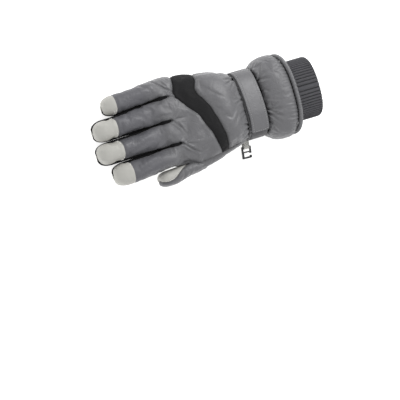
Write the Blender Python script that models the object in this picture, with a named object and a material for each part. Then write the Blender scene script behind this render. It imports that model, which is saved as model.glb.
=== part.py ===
"""Insulated ski glove for the right hand, lying palm down.

+Y runs from the cuff to the fingertips, +X to the little finger, and +Z is up.
Every soft layer is a loft between sections: rounded rings that follow the hand, a finger, the thumb
or the cuff. An inset says how far under the outer skin a layer lies, and an angle says where on the
ring a point is: 0 at the little-finger side, 90 on the back, 180 at the thumb side, 270 on the palm.
While modelling, y = 0 is the wrist crease. At the end the whole glove hangs from one empty that puts
the middle of its footprint at the origin.
"""
import math

import bmesh
import bpy
from mathutils import Matrix, Vector

MM = 0.001

# ---- fabric layers, from the outside in ----
SHELL = 1.0 * MM
BACK_FILL = 4.0 * MM
PALM_FILL = 2.4 * MM
FINGER_FILL = 2.6 * MM
THUMB_SHELL = 0.8 * MM
THUMB_FILL = 1.0 * MM
THUMB_LINING = 0.6 * MM
THUMB_GAP = 0.95 * MM
CUFF_FILL = 3.5 * MM
LINING = 1.0 * MM
LAYER_GAP = 0.5 * MM
EDGE_GAP = 0.4 * MM
HINGE_GAP = 0.8 * MM
PATCH = 1.0 * MM

# ---- hand, from the wrist band to the roots of the fingers ----
WRIST_WIDTH = 85 * MM
WRIST_HEIGHT = 46 * MM
BAND_LENGTH = 28 * MM
HAND_LENGTH = 92 * MM
THUMB_SIDE_REACH = 54.5 * MM
LITTLE_SIDE_REACH = 56.5 * MM
KNUCKLE_HEIGHT = 38 * MM
HAND_LOFT = 10 * MM
PALM_DRIFT = 6 * MM
ROUNDNESS = 2.5
SAG = 2 * MM
SIDE_ANGLE = 32
PALM_Z = PATCH + LAYER_GAP

# ---- thumb ----
THUMB_MOUND = 10.6 * MM
SHOULDER_START = 70 * MM
SHOULDER_LENGTH = 8 * MM
THUMB_ROOT_Y = BAND_LENGTH + SHOULDER_START + 4.6 * MM
THUMB_LENGTH = 51 * MM
THUMB_INNER_X = -49.2 * MM
THUMB_ROOT_WIDTH = 13.4 * MM
THUMB_TIP_WIDTH = 18 * MM
THUMB_OUTWARD = 1.6 * MM
THUMB_ROOT_HEIGHT = 28 * MM
THUMB_TIP_HEIGHT = 23 * MM
THUMB_SLANT = 4 * MM
THUMB_DOME = 12 * MM
PASSAGE_WIDTH = 5.2 * MM
PASSAGE_HEIGHT = 11 * MM
PASSAGE_LENGTH = 24 * MM

# ---- fingers: where each ends, its width near the tip and the length of its pale cap ----
CROTCH_MIDDLE_Y = BAND_LENGTH + HAND_LENGTH
CROTCH_DEPTH = {"thumb_side": 0.0, "index_middle": 0.5 * MM, "middle_ring": 6.5 * MM,
                "ring_little": 2 * MM, "little_side": 2 * MM}
CROTCH_X = {"index_middle": -22.5 * MM, "middle_ring": 8 * MM, "ring_little": 38 * MM}
FINGERS = {
    "index": {"length": 91 * MM, "x": -38.7 * MM, "width": 26.8 * MM, "cap": 22 * MM,
              "sides": ("thumb_side", "index_middle")},
    "middle": {"length": 105 * MM, "x": -9.2 * MM, "width": 26.4 * MM, "cap": 31 * MM,
               "sides": ("index_middle", "middle_ring")},
    "ring": {"length": 102 * MM, "x": 19.3 * MM, "width": 25.6 * MM, "cap": 28 * MM,
             "sides": ("middle_ring", "ring_little")},
    "little": {"length": 81 * MM, "x": 46.4 * MM, "width": 23.4 * MM, "cap": 15 * MM,
               "sides": ("ring_little", "little_side")},
}
FINGER_TIP_HEIGHT = 25 * MM
FINGER_DOME = 17 * MM
FINGER_BLEND = 20 * MM
FINGER_ROUNDNESS = 2.5
FINGER_CORNER = 38
FINGER_CURL = 60
SLIT_AT_ROOT = 0.9 * MM

# ---- knuckle stripe: its two edges across the back, as distances from the thumb side and the wrist ----
STRIPE_FRONT = ((62, 103), (39, 113.5), (18, 105), (-4, 93), (-28, 79), (-47, 68))
STRIPE_REAR = ((62, 76), (42, 82), (32, 86), (14, 79), (-6, 70), (-28, 62), (-47, 58))

# ---- wrist, strap and clip ----
ELASTIC_WIDTH = 14 * MM
STRAP_WIDTH = 25 * MM
STRAP_THICKNESS = 2.2 * MM
STRAP_HINGE_ANGLE = 14
STRAP_END_ANGLE = 137
STRAP_OPENS = 110
HOOK_LENGTH_ANGLE = 22
LOOP_END_ANGLE = 203
TAPE_WIDTH = 8 * MM
TAPE_LENGTH = 13 * MM
TAPE_THICKNESS = 0.9 * MM
TAPE_ANGLE = 200
TAPE_BELOW_LOOP_PATCH = 3.155 * MM
CLIP_LENGTH = 15.5 * MM
CLIP_BAR = 2.2 * MM
CLIP_SWINGS = 40

# ---- cuff ----
CUFF_WIDTH = 105 * MM
CUFF_HEIGHT = 62 * MM
CUFF_LENGTH = 36 * MM
HEM_SLANT = 6 * MM
HEM_RADIUS = 3 * MM
KNIT_WIDTH = 76 * MM
KNIT_HEIGHT = 45 * MM
KNIT_THICKNESS = 2.4 * MM
KNIT_HIDDEN = 20 * MM
KNIT_SHOWN = 33 * MM
KNIT_SLANT = 3 * MM
WRIST_BENDS = 25


# ---- small helpers ----
def mix(a, b, t):
    return a + (b - a) * t


def clamp(t):
    return min(max(t, 0.0), 1.0)


def ease(t):
    t = clamp(t)
    return t * t * (3 - 2 * t)


def signed_power(value, power):
    return math.copysign(abs(value) ** power, value)


def dome(distance, length, power=2.4):
    """Share of the full width left at this distance from a rounded end."""
    if distance >= length:
        return 1.0
    return max(1.0 - (1.0 - distance / length) ** power, 0.0) ** (1 / power)


def spread(first, last, count):
    return [mix(first, last, i / count) for i in range(count + 1)]


def along(knots, value):
    """Reads a line given as (position, height) pairs, sorted by position."""
    if value <= knots[0][0]:
        return knots[0][1]
    for (a, low), (b, high) in zip(knots, knots[1:]):
        if value <= b:
            return mix(low, high, (value - a) / (b - a))
    return knots[-1][1]


def fill_depth(angle):
    """The padding is thick on the back and thin on the palm, so that the hand can grip."""
    return mix(PALM_FILL, BACK_FILL, ease((1 + math.sin(math.radians(angle))) / 2))


# ---- the outer skin of the hand ----
def hand_outline(y):
    t = clamp((y - BAND_LENGTH) / HAND_LENGTH)
    rise = math.sin(t * math.pi / 2)
    thumb_side = mix(WRIST_WIDTH / 2, THUMB_SIDE_REACH, rise)
    little_side = mix(WRIST_WIDTH / 2, LITTLE_SIDE_REACH, rise)
    height = mix(WRIST_HEIGHT, KNUCKLE_HEIGHT, ease(t)) + HAND_LOFT * math.sin(math.pi * t ** 0.7) ** 2
    return PALM_DRIFT * t, thumb_side, little_side, height


def thumb_mound(angle, y):
    """How far the root of the thumb pushes the side of the hand outwards."""
    grown = clamp((y - BAND_LENGTH) / SHOULDER_START) ** 1.3
    grown *= 1 - ease((y - BAND_LENGTH - SHOULDER_START) / SHOULDER_LENGTH)
    beside = abs(angle % 360 - 180) / SIDE_ANGLE
    return THUMB_MOUND * grown * ease(1 - beside)


def hand_point(angle, y, inset=0.0):
    centre, thumb_side, little_side, height = hand_outline(y)
    c, s = math.cos(math.radians(angle)), math.sin(math.radians(angle))
    reach = (little_side if c > 0 else thumb_side) - inset
    x = centre + reach * signed_power(c, 2 / ROUNDNESS) - thumb_mound(angle, y)
    z = height / 2 - SAG + (height / 2 - inset) * signed_power(s, 2 / ROUNDNESS)
    return Vector((x, y, PALM_Z + max(z, inset)))


def hand_angle(x, y):
    """The angle of the back's point above x."""
    centre, thumb_side, little_side, _ = hand_outline(y)
    share = (x - centre) / (little_side if x > centre else thumb_side)
    share = max(-1.0, min(1.0, share))
    return math.degrees(math.acos(signed_power(share, ROUNDNESS / 2)))


def hand_line(points):
    """A line across the back, given in millimetres, as a function of the angle."""
    knots = sorted((hand_angle(x * MM, y * MM), y * MM) for x, y in points)
    return lambda angle: along(knots, angle)


def crotch_y(side):
    return CROTCH_MIDDLE_Y + CROTCH_DEPTH[side]


def crotch_line(angle):
    """The front edge of the hand, where the fingers begin, the same on the back and on the palm."""
    turned = angle % 360
    turned = 360 - turned if turned > 180 else turned
    knots = [(SIDE_ANGLE, crotch_y("little_side"))]
    for side in ("ring_little", "middle_ring", "index_middle"):
        knots.append((hand_angle(CROTCH_X[side], CROTCH_MIDDLE_Y), crotch_y(side)))
    knots.append((180 - SIDE_ANGLE, crotch_y("thumb_side")))
    return along(knots, turned)


def hand_columns():
    """The angles at which every layer of the hand has a column: some fall on the crotches."""
    crotches = [hand_angle(x, CROTCH_MIDDLE_Y) for x in CROTCH_X.values()]
    knots = sorted([SIDE_ANGLE, 180 - SIDE_ANGLE, *crotches])
    back = [knots[0]]
    for a, b in zip(knots, knots[1:]):
        back += spread(a, b, 2)[1:]
    half = [SIDE_ANGLE / 2] + back + [180 - SIDE_ANGLE / 2]
    return [0] + half + [180] + [360 - a for a in reversed(half)]


def faceted_point(angle, y, inset=0.0):
    """A point between two columns lies on the flat between them, so that stacked layers keep their gap."""
    columns = hand_columns() + [360]
    turned = angle % 360
    for a, b in zip(columns, columns[1:]):
        if turned <= b:
            share = (turned - a) / (b - a)
            return hand_point(a, y, inset).lerp(hand_point(b, y, inset), share)
    return hand_point(0, y, inset)


def stretch(first, last, gap):
    """The hand's columns from one angle to another, the two ends drawn in by a gap."""
    every = [a - 360 for a in hand_columns()] + hand_columns()
    inside = [a for a in every if first < a < last and a - first > gap and last - a > gap]
    return [first + gap] + inside + [last - gap]


# ---- the outer skin of a finger ----
def finger_edges(name, side_angle=0):
    """Left and right limits of a finger's root in x; the hand's own sides are read at side_angle."""
    left, right = FINGERS[name]["sides"]
    _, thumb_side, little_side, _ = hand_outline(CROTCH_MIDDLE_Y)
    corner = math.cos(math.radians(side_angle)) ** (2 / ROUNDNESS)
    outer = {"thumb_side": PALM_DRIFT - thumb_side * corner, "little_side": PALM_DRIFT + little_side * corner}
    return CROTCH_X.get(left, outer.get(left)), CROTCH_X.get(right, outer.get(right))


def root_point(name, angle, inset):
    """A finger's section where it leaves the hand: the hand's own skin above and below, a fold at each side."""
    left_side, right_side = FINGERS[name]["sides"]
    left, right = finger_edges(name, SIDE_ANGLE)
    _, _, _, height = hand_outline(CROTCH_MIDDLE_Y)
    turned = angle % 360
    corner = FINGER_CORNER
    if left_side == "thumb_side" and 180 - corner < turned < 180 + corner:
        side = mix(180 - SIDE_ANGLE, 180 + SIDE_ANGLE, (turned - 180 + corner) / (2 * corner))
        return hand_point(side, CROTCH_MIDDLE_Y, inset)
    if right_side == "little_side" and (turned < corner or turned > 360 - corner):
        wrapped = turned if turned < 180 else turned - 360
        side = mix(-SIDE_ANGLE, SIDE_ANGLE, (wrapped + corner) / (2 * corner))
        return hand_point(side, CROTCH_MIDDLE_Y, inset)
    margin = inset + SLIT_AT_ROOT / 2
    low = left + (inset * 0.8 if left_side == "thumb_side" else margin)
    high = right - (inset * 0.8 if right_side == "little_side" else margin)
    if turned <= corner or turned >= 360 - corner:
        wrapped = turned if turned < 180 else turned - 360
        share, level = 1.0, (wrapped + corner) / (2 * corner)
    elif 180 - corner <= turned <= 180 + corner:
        share, level = 0.0, 1 - (turned - 180 + corner) / (2 * corner)
    elif turned < 180:
        share, level = (180 - corner - turned) / (180 - 2 * corner), 1.0
    else:
        share, level = (turned - 180 - corner) / (180 - 2 * corner), 0.0
    x = mix(low, high, share)
    top = back_height(x, inset)
    drop = height - SAG - back_height(x, 0.0) + PALM_Z
    bottom = PALM_Z + inset + max(drop - SAG, 0.0)
    return Vector((x, CROTCH_MIDDLE_Y, mix(bottom, top, level)))


def back_height(x, inset):
    """Height of the hand's skin, or of a layer under it, above x at the roots of the fingers."""
    centre, thumb_side, little_side, height = hand_outline(CROTCH_MIDDLE_Y)
    reach = (little_side if x > centre else thumb_side) - inset
    share = min(abs(x - centre) / reach, 1.0)
    return PALM_Z + height / 2 - SAG + (height / 2 - inset) * (1 - share ** ROUNDNESS) ** (1 / ROUNDNESS)


def finger_root_y(name, angle):
    left, right = FINGERS[name]["sides"]
    share = (1 + signed_power(math.cos(math.radians(angle)), 0.8)) / 2
    return mix(crotch_y(left), crotch_y(right), share)


def finger_tip_y(name):
    return CROTCH_MIDDLE_Y + FINGERS[name]["length"]


def finger_point(name, angle, s, inset=0.0):
    """A point of a finger's ring: s is 0 at its root and 1 at the very tip."""
    finger = FINGERS[name]
    root_y = finger_root_y(name, angle)
    tip_y = finger_tip_y(name) - inset
    y = mix(root_y, tip_y, s)
    left, right = finger_edges(name)
    c, p = math.cos(math.radians(angle)), math.sin(math.radians(angle))
    power = 2 / FINGER_ROUNDNESS
    narrowing = dome(tip_y - y, FINGER_DOME - inset)
    half_width = mix((right - left) / 2 - SLIT_AT_ROOT, finger["width"] / 2, ease(s * 1.4))
    half_height = mix(KNUCKLE_HEIGHT / 2 - SAG / 2, FINGER_TIP_HEIGHT / 2, s)
    middle_z = mix(PALM_Z + KNUCKLE_HEIGHT / 2 - SAG / 2, FINGER_TIP_HEIGHT / 2, s)
    x = mix((left + right) / 2, finger["x"], ease(s * 1.2))
    x += (half_width - inset) * narrowing * signed_power(c, power)
    z = middle_z + (half_height - inset) * narrowing * signed_power(p, power)
    root = root_point(name, angle, inset)
    share = ease((y - root_y) / FINGER_BLEND)
    return Vector((mix(root.x, x, share), y, mix(root.z, z, share)))


# ---- the outer skin of the thumb ----
def thumb_point(angle, s, inset=0.0):
    c, p = math.cos(math.radians(angle)), math.sin(math.radians(angle))
    root_y = THUMB_ROOT_Y + THUMB_SLANT * signed_power(c, 2 / 2.3) * (1 - 2 * inset / THUMB_ROOT_WIDTH)
    tip_y = THUMB_ROOT_Y + THUMB_LENGTH - inset
    y = mix(root_y, tip_y, s)
    narrowing = dome(tip_y - y, THUMB_DOME - inset)
    half_width = mix(THUMB_ROOT_WIDTH, THUMB_TIP_WIDTH, ease(s * 1.5)) / 2
    half_height = mix(THUMB_ROOT_HEIGHT, THUMB_TIP_HEIGHT, s) / 2
    x = THUMB_INNER_X - THUMB_OUTWARD * ease(s * 1.2) - half_width
    x += (half_width - inset) * narrowing * signed_power(c, 2 / 2.3)
    z = half_height + SAG / 4 + (half_height - inset) * narrowing * signed_power(p, 2 / 2.3)
    return Vector((x, y, z))


# ---- the outer skin of the cuff ----
def hem_y(angle):
    return -CUFF_LENGTH - HEM_SLANT * math.sin(math.radians(angle))


def cuff_point(angle, s, inset=0.0):
    """s is 0 at the wrist crease and 1 at the hem."""
    c, p = math.cos(math.radians(angle)), math.sin(math.radians(angle))
    rise = math.sin(s * math.pi / 2)
    half_width = mix(WRIST_WIDTH, CUFF_WIDTH, rise) / 2
    half_height = mix(WRIST_HEIGHT, CUFF_HEIGHT, rise) / 2
    x = (half_width - inset) * signed_power(c, 2 / ROUNDNESS)
    z = half_height - SAG + (half_height - inset) * signed_power(p, 2 / ROUNDNESS)
    floor = mix(PALM_Z, 0.0, ease(s * 2))
    return Vector((x, mix(0.0, hem_y(angle), s), floor + max(z, inset)))


def knit_point(angle, s, inset=0.0):
    """s is 0 at the hidden edge inside the cuff and 1 at the open end."""
    c, p = math.cos(math.radians(angle)), math.sin(math.radians(angle))
    under = SHELL + CUFF_FILL + LINING + 3 * LAYER_GAP
    start = cuff_point(angle, KNIT_HIDDEN / CUFF_LENGTH / 1.17, under + inset)
    x = (KNIT_WIDTH / 2 - inset) * signed_power(c, 2 / ROUNDNESS)
    z = CUFF_HEIGHT / 2 - SAG + (KNIT_HEIGHT / 2 - inset) * signed_power(p, 2 / ROUNDNESS)
    share = ease(s * 2.2)
    first = start.y
    last = -CUFF_LENGTH - KNIT_SHOWN - KNIT_SLANT * p
    return Vector((mix(start.x, x, share), mix(first, last, s), mix(start.z, z, share)))


# ---- joints: where each moving body turns ----
def finger_pivot(name):
    left, right = FINGERS[name]["sides"]
    return Vector((FINGERS[name]["x"], max(crotch_y(left), crotch_y(right)) + 1 * MM, PALM_Z + 0.5 * MM))


def strap_pivot():
    return hand_point(STRAP_HINGE_ANGLE, 0.0, -EDGE_GAP - STRAP_THICKNESS)


def strap_depths():
    """How far above the band the strap's outer and inner faces lie: over the loop patch and the hook."""
    inner = 2 * PATCH * 0.8 + 3 * EDGE_GAP
    return inner + STRAP_THICKNESS, inner


def clip_frame():
    """Where the tape leaves the wrist: its origin and the directions along it, across it and up."""
    root = hand_point(TAPE_ANGLE, BAND_LENGTH / 2, 0.0)
    level = hand_point(LOOP_END_ANGLE, BAND_LENGTH / 2).z - TAPE_BELOW_LOOP_PATCH
    outward = Vector((-0.93, 0.05, -0.22)).normalized()
    across = Vector((0, 0, 1)).cross(outward).normalized()
    return Vector((root.x - EDGE_GAP, BAND_LENGTH * 0.8, level)), outward, across


def clip_pivot():
    origin, outward, _ = clip_frame()
    return origin + outward * (TAPE_LENGTH - TAPE_THICKNESS - CLIP_BAR / 2 - 2 * EDGE_GAP)


PIVOTS = {
    "hand": Vector((0, 0, 0)),
    "cuff": Vector((0, 0, PALM_Z)),
    "strap": strap_pivot(),
    "clip": clip_pivot(),
    "thumb": thumb_point(180, 0.0),
}
for finger_name in FINGERS:
    PIVOTS[finger_name] = finger_pivot(finger_name)

# ---- materials: base colour, roughness, metallic ----
FABRICS = {
    "shell_nylon": ((0.17, 0.17, 0.175), 0.5),
    "stripe_softshell": ((0.025, 0.025, 0.027), 0.75),
    "pale_leather": ((0.5, 0.5, 0.47), 0.6),
    "side_knit": ((0.012, 0.012, 0.014), 0.85),
    "grip_rubber": ((0.03, 0.03, 0.03), 0.7),
    "padding": ((0.75, 0.75, 0.72), 0.9),
    "fleece": ((0.06, 0.06, 0.065), 0.95),
    "rib_knit": ((0.06, 0.06, 0.065), 0.9),
    "binding": ((0.13, 0.13, 0.135), 0.55),
    "elastic": ((0.1, 0.1, 0.1), 0.8),
    "fastener_tape": ((0.02, 0.02, 0.02), 0.95),
    "webbing": ((0.62, 0.62, 0.6), 0.75),
    "clip_plastic": ((0.012, 0.012, 0.012), 0.35),
}


def material(name):
    found = bpy.data.materials.get(name)
    if found:
        return found
    colour, roughness = FABRICS[name]
    made = bpy.data.materials.new(name)
    made.use_nodes = True
    shader = made.node_tree.nodes["Principled BSDF"]
    shader.inputs["Base Color"].default_value = (*colour, 1)
    shader.inputs["Roughness"].default_value = roughness
    shader.inputs["Metallic"].default_value = 0.0
    made.diffuse_color = (*colour, 1)
    return made


# ---- making objects ----
GLOVE = bpy.data.collections.new("ski_glove")
CUTTERS = bpy.data.collections.new("cutters")


def place(obj, body, fabric):
    """Puts a finished object's origin on its body's joint and in the glove's collection."""
    pivot = PIVOTS[body]
    obj.data.transform(Matrix.Translation(-pivot) @ obj.matrix_world)
    obj.matrix_world = Matrix.Translation(pivot)
    obj.data.materials.clear()
    obj.data.materials.append(material(fabric))
    GLOVE.objects.link(obj)
    return obj


def object_from(name, bm):
    bmesh.ops.recalc_face_normals(bm, faces=bm.faces)
    mesh = bpy.data.meshes.new(name)
    bm.to_mesh(mesh)
    bm.free()
    return bpy.data.objects.new(name, mesh)


def skin_between(bm, rows, closed=False):
    """Faces between neighbouring rows, all split along the same diagonal so that layers stay parallel."""
    for a, b in zip(rows, rows[1:]):
        count = len(a)
        for i in range(count if closed else count - 1):
            j = (i + 1) % count
            bm.faces.new((a[i], a[j], b[j]))
            bm.faces.new((a[i], b[j], b[i]))


def panel(name, body, fabric, angles, steps, point, outer, inner):
    """A cut piece of fabric: a closed slab between two insets of a skin.

    point(angle, step, inset) gives the skin; outer(angle) and inner(angle) are the two insets.
    """
    bm = bmesh.new()
    top = [[bm.verts.new(point(a, s, outer(a))) for a in angles] for s in steps]
    under = [[bm.verts.new(point(a, s, inner(a))) for a in angles] for s in steps]
    skin_between(bm, top)
    skin_between(bm, under)
    skin_between(bm, [top[0], under[0]])
    skin_between(bm, [top[-1], under[-1]])
    for column in (0, -1):
        skin_between(bm, [[row[column] for row in top], [row[column] for row in under]])
    return place(object_from(name, bm), body, fabric)


def sleeve(name, body, fabric, angles, steps, point, outer, inner, closed_tip=False):
    """A tube of fabric or padding all round, open at its root and, if closed_tip, with a rounded end."""
    bm = bmesh.new()
    outside = [[bm.verts.new(point(a, s, outer(a))) for a in angles] for s in steps]
    inside = [[bm.verts.new(point(a, s, inner(a))) for a in angles] for s in steps]
    skin_between(bm, outside, closed=True)
    skin_between(bm, inside, closed=True)
    skin_between(bm, [outside[0], inside[0]], closed=True)
    if closed_tip:
        for ring in (outside[-1], inside[-1]):
            middle = bm.verts.new(sum((v.co for v in ring), Vector()) / len(ring))
            for i in range(len(ring)):
                bm.faces.new((ring[i], ring[(i + 1) % len(ring)], middle))
    else:
        skin_between(bm, [outside[-1], inside[-1]], closed=True)
    return place(object_from(name, bm), body, fabric)


def depth(*layers):
    """An inset that is the same all round."""
    total = sum(layers)
    return lambda angle: total


def cut(obj, cutter):
    boolean = obj.modifiers.new("cut", "BOOLEAN")
    boolean.operation = "DIFFERENCE"
    boolean.solver = "EXACT"
    boolean.object = cutter
    cutter.hide_render = True
    cutter.display_type = "WIRE"


# ---- hand ----
def build_hand():
    edge = math.degrees(EDGE_GAP / 2 / (WRIST_WIDTH / 3))
    stripe_front, stripe_rear = hand_line(STRIPE_FRONT), hand_line(STRIPE_REAR)

    def band_end(angle):
        return BAND_LENGTH + EDGE_GAP / 2

    def between(first, last):
        """Maps steps 0 to 1 onto the hand between two lines, less the clearance at each."""
        def point(angle, s, inset):
            low, high = first(angle) + EDGE_GAP / 2, last(angle) - EDGE_GAP / 2
            return faceted_point(angle, mix(low, high, s), inset)
        return point

    skin = (depth(0), depth(SHELL))
    back = stretch(-SIDE_ANGLE, 180 - SIDE_ANGLE, edge)
    panel("rear_back_panel", "hand", "shell_nylon", back, spread(0, 1, 6), between(band_end, stripe_rear), *skin)
    panel("knuckle_stripe", "hand", "stripe_softshell", back, spread(0, 1, 3),
          between(stripe_rear, stripe_front), *skin)
    panel("front_back_panel", "hand", "shell_nylon", back, spread(0, 1, 6),
          between(stripe_front, crotch_line), *skin)

    marks = [0, 13, 26, 38, 48, 56, 63, SHOULDER_START / MM, 72.5, 74.5, 77, 80, 85]
    marks = [mark for mark in marks if mark < HAND_LENGTH / MM - 3]
    front = max(math.ceil((HAND_LENGTH / MM - marks[-1]) / 7), 1)
    rows = [mark * MM / HAND_LENGTH for mark in marks[:-1] + spread(marks[-1], HAND_LENGTH / MM, front)]
    whole = between(band_end, crotch_line)
    side = stretch(180 - SIDE_ANGLE, 180 + SIDE_ANGLE, edge)
    side_panel = panel("thumb_side_panel", "hand", "shell_nylon", side, rows, whole, *skin)
    palm = stretch(180 + SIDE_ANGLE, 360 - SIDE_ANGLE, edge)
    palm_panel = panel("palm_panel", "hand", "pale_leather", palm, rows, whole, *skin)
    patch = [a for a in palm if 225 < a < 315]
    panel("palm_patch", "hand", "grip_rubber", patch, spread(0.18, 0.78, 4), whole,
          depth(-PALM_Z), depth(-PALM_Z + PATCH))

    fill_outer = depth(SHELL + LAYER_GAP)

    def fill_inner(angle):
        return SHELL + LAYER_GAP + fill_depth(angle)

    def lining_outer(angle):
        return fill_inner(angle) + LAYER_GAP

    def lining_inner(angle):
        return lining_outer(angle) + LINING

    def lining_point(angle, s, inset):
        """Steps from -1 to 0 line the wrist band."""
        if s < 0:
            return hand_point(angle, mix(HINGE_GAP / 2, BAND_LENGTH, s + 1), inset)
        return whole(angle, s, inset)

    back_fill = panel("back_insulation", "hand", "padding", stretch(0, 180 + SIDE_ANGLE, edge), rows,
                      whole, fill_outer, fill_inner)
    palm_fill = panel("palm_insulation", "hand", "padding", stretch(180 + SIDE_ANGLE, 360, edge), rows,
                      whole, fill_outer, fill_inner)
    lining = sleeve("hand_lining", "hand", "fleece", hand_columns(), [-1, *rows], lining_point,
                    lining_outer, lining_inner)

    passage = thumb_passage()
    for layer in (side_panel, palm_panel, back_fill, palm_fill, lining):
        cut(layer, passage)


def thumb_passage():
    """The way from the hand's hollow into the thumb, through the shoulder at the thumb's root."""
    far = thumb_point(0, 0.0)
    outer = thumb_point(180, 0.0)
    level = hand_point(180, THUMB_ROOT_Y).z
    goal = Vector(((far.x + outer.x) / 2, THUMB_ROOT_Y + 2 * MM, level))
    direction = Vector((-0.4, 0.917, 0))
    middle = goal - direction * PASSAGE_LENGTH / 2
    bpy.ops.mesh.primitive_cylinder_add(vertices=12, radius=1.0, depth=1.0)
    tube = bpy.context.object
    tube.name = "thumb_passage"
    tube.data.transform(Matrix.Translation(middle) @ direction.to_track_quat("Z", "Y").to_matrix().to_4x4()
                        @ Matrix.Diagonal((PASSAGE_WIDTH / 2, PASSAGE_HEIGHT / 2, PASSAGE_LENGTH, 1)))
    for owner in list(tube.users_collection):
        owner.objects.unlink(tube)
    CUTTERS.objects.link(tube)
    return tube


# ---- wrist ----
def build_wrist():
    ring = spread(0, 360, 24)[:-1]

    def band_point(angle, y, inset):
        return hand_point(angle, y, inset)

    first, last = HINGE_GAP / 2, BAND_LENGTH - EDGE_GAP / 2
    sleeve("wrist_band", "hand", "shell_nylon", ring, spread(first, last, 2), band_point,
           depth(0), depth(SHELL))
    middle = BAND_LENGTH / 2
    under = SHELL + LAYER_GAP
    sleeve("wrist_elastic", "hand", "elastic", ring,
           [middle - ELASTIC_WIDTH / 2, middle + ELASTIC_WIDTH / 2], band_point,
           depth(under), depth(under, 1.2 * MM))


def build_strap():
    outer, inner = strap_depths()
    middle = BAND_LENGTH / 2
    sides = [middle - STRAP_WIDTH / 2, middle + STRAP_WIDTH / 2]
    gap_angle = math.degrees(EDGE_GAP / (WRIST_HEIGHT / 2))

    def strap_point(angle, y, inset):
        return hand_point(angle, y, inset)

    anchor = spread(-STRAP_HINGE_ANGLE - 12, STRAP_HINGE_ANGLE - gap_angle, 3)
    panel("strap_anchor", "hand", "shell_nylon", anchor, sides, strap_point,
          depth(-EDGE_GAP - STRAP_THICKNESS), depth(-EDGE_GAP))

    def raised(angle, height):
        """The strap lies on the band until it climbs over the hook and loop tapes."""
        low = EDGE_GAP + height - inner
        return -mix(low, height, ease((angle - 65) / 40))

    flap = ([STRAP_HINGE_ANGLE + gap_angle] + spread(2 * STRAP_HINGE_ANGLE, 105, 6)
            + [115, 124, 132, STRAP_END_ANGLE])

    def flap_point(angle, y, inset):
        """The free end has cut corners."""
        if angle == STRAP_END_ANGLE:
            y = mix(middle, y, 0.8)
        return hand_point(angle, y, inset)

    panel("strap", "strap", "shell_nylon", flap, sides, flap_point,
          lambda angle: raised(angle, outer), lambda angle: raised(angle, inner))

    tape = PATCH * 0.8
    loop_last = STRAP_END_ANGLE - HOOK_LENGTH_ANGLE - 6
    narrow = [sides[0] + 2 * MM, sides[1] - 2 * MM]
    loop = [loop_last, 115, 124, 132, 140, 156, 172, 188, LOOP_END_ANGLE]
    panel("loop_patch", "hand", "fastener_tape", loop, narrow, strap_point,
          depth(-EDGE_GAP - tape), depth(-EDGE_GAP))
    panel("hook_patch", "strap", "fastener_tape",
          [115, 124, 132], narrow, strap_point,
          depth(-2 * EDGE_GAP - 2 * tape), depth(-2 * EDGE_GAP - tape))


# ---- clip ----
def local_box(name, size, centre):
    """A box in the clip's own directions: along the tape, across it, up."""
    origin, outward, across = clip_frame()
    up = outward.cross(across)
    axes = Matrix((outward, across, up)).transposed().to_4x4()
    bpy.ops.mesh.primitive_cube_add(size=1.0)
    box = bpy.context.object
    box.name = name
    box.data.transform(Matrix.Translation(origin) @ axes @ Matrix.Translation(centre)
                       @ Matrix.Diagonal((*size, 1)))
    for owner in list(box.users_collection):
        owner.objects.unlink(box)
    return box


def build_clip():
    slot = CLIP_BAR + 3 * EDGE_GAP
    loop_height = slot + 2 * TAPE_THICKNESS
    tape = local_box("webbing_loop", (TAPE_LENGTH, TAPE_WIDTH, loop_height), Vector((TAPE_LENGTH / 2, 0, 0)))
    eye = local_box("webbing_eye", (slot + 2 * MM, TAPE_WIDTH * 2, slot),
                    Vector((TAPE_LENGTH - TAPE_THICKNESS - slot / 2 - 1 * MM, 0, 0)))
    CUTTERS.objects.link(eye)
    place(tape, "hand", "webbing")
    cut(tape, eye)

    bar_u = TAPE_LENGTH - TAPE_THICKNESS - CLIP_BAR / 2 - 2 * EDGE_GAP
    start = bar_u - CLIP_BAR / 2
    width = TAPE_WIDTH + 2 * EDGE_GAP + 2 * CLIP_BAR
    frame = local_box("clip_hook", (CLIP_LENGTH, width, CLIP_BAR), Vector((start + CLIP_LENGTH / 2, 0, 0)))
    window_first = start + CLIP_BAR
    window = local_box("clip_window", (4.2 * MM, TAPE_WIDTH + 2 * EDGE_GAP, CLIP_BAR * 2),
                       Vector((window_first + 2.1 * MM, 0, 0)))
    mouth_first = window_first + 4.2 * MM + CLIP_BAR * 0.7
    mouth_length = CLIP_LENGTH + start - CLIP_BAR - mouth_first
    mouth = local_box("clip_mouth", (mouth_length, TAPE_WIDTH, CLIP_BAR * 2),
                      Vector((mouth_first + mouth_length / 2, 0, 0)))
    entry = local_box("clip_entry", (mouth_length * 0.45, width, CLIP_BAR * 2),
                      Vector((mouth_first + mouth_length / 2, width / 2, 0)))
    place(frame, "clip", "clip_plastic")
    for cutter in (window, mouth, entry):
        CUTTERS.objects.link(cutter)
        cut(frame, cutter)


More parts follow.
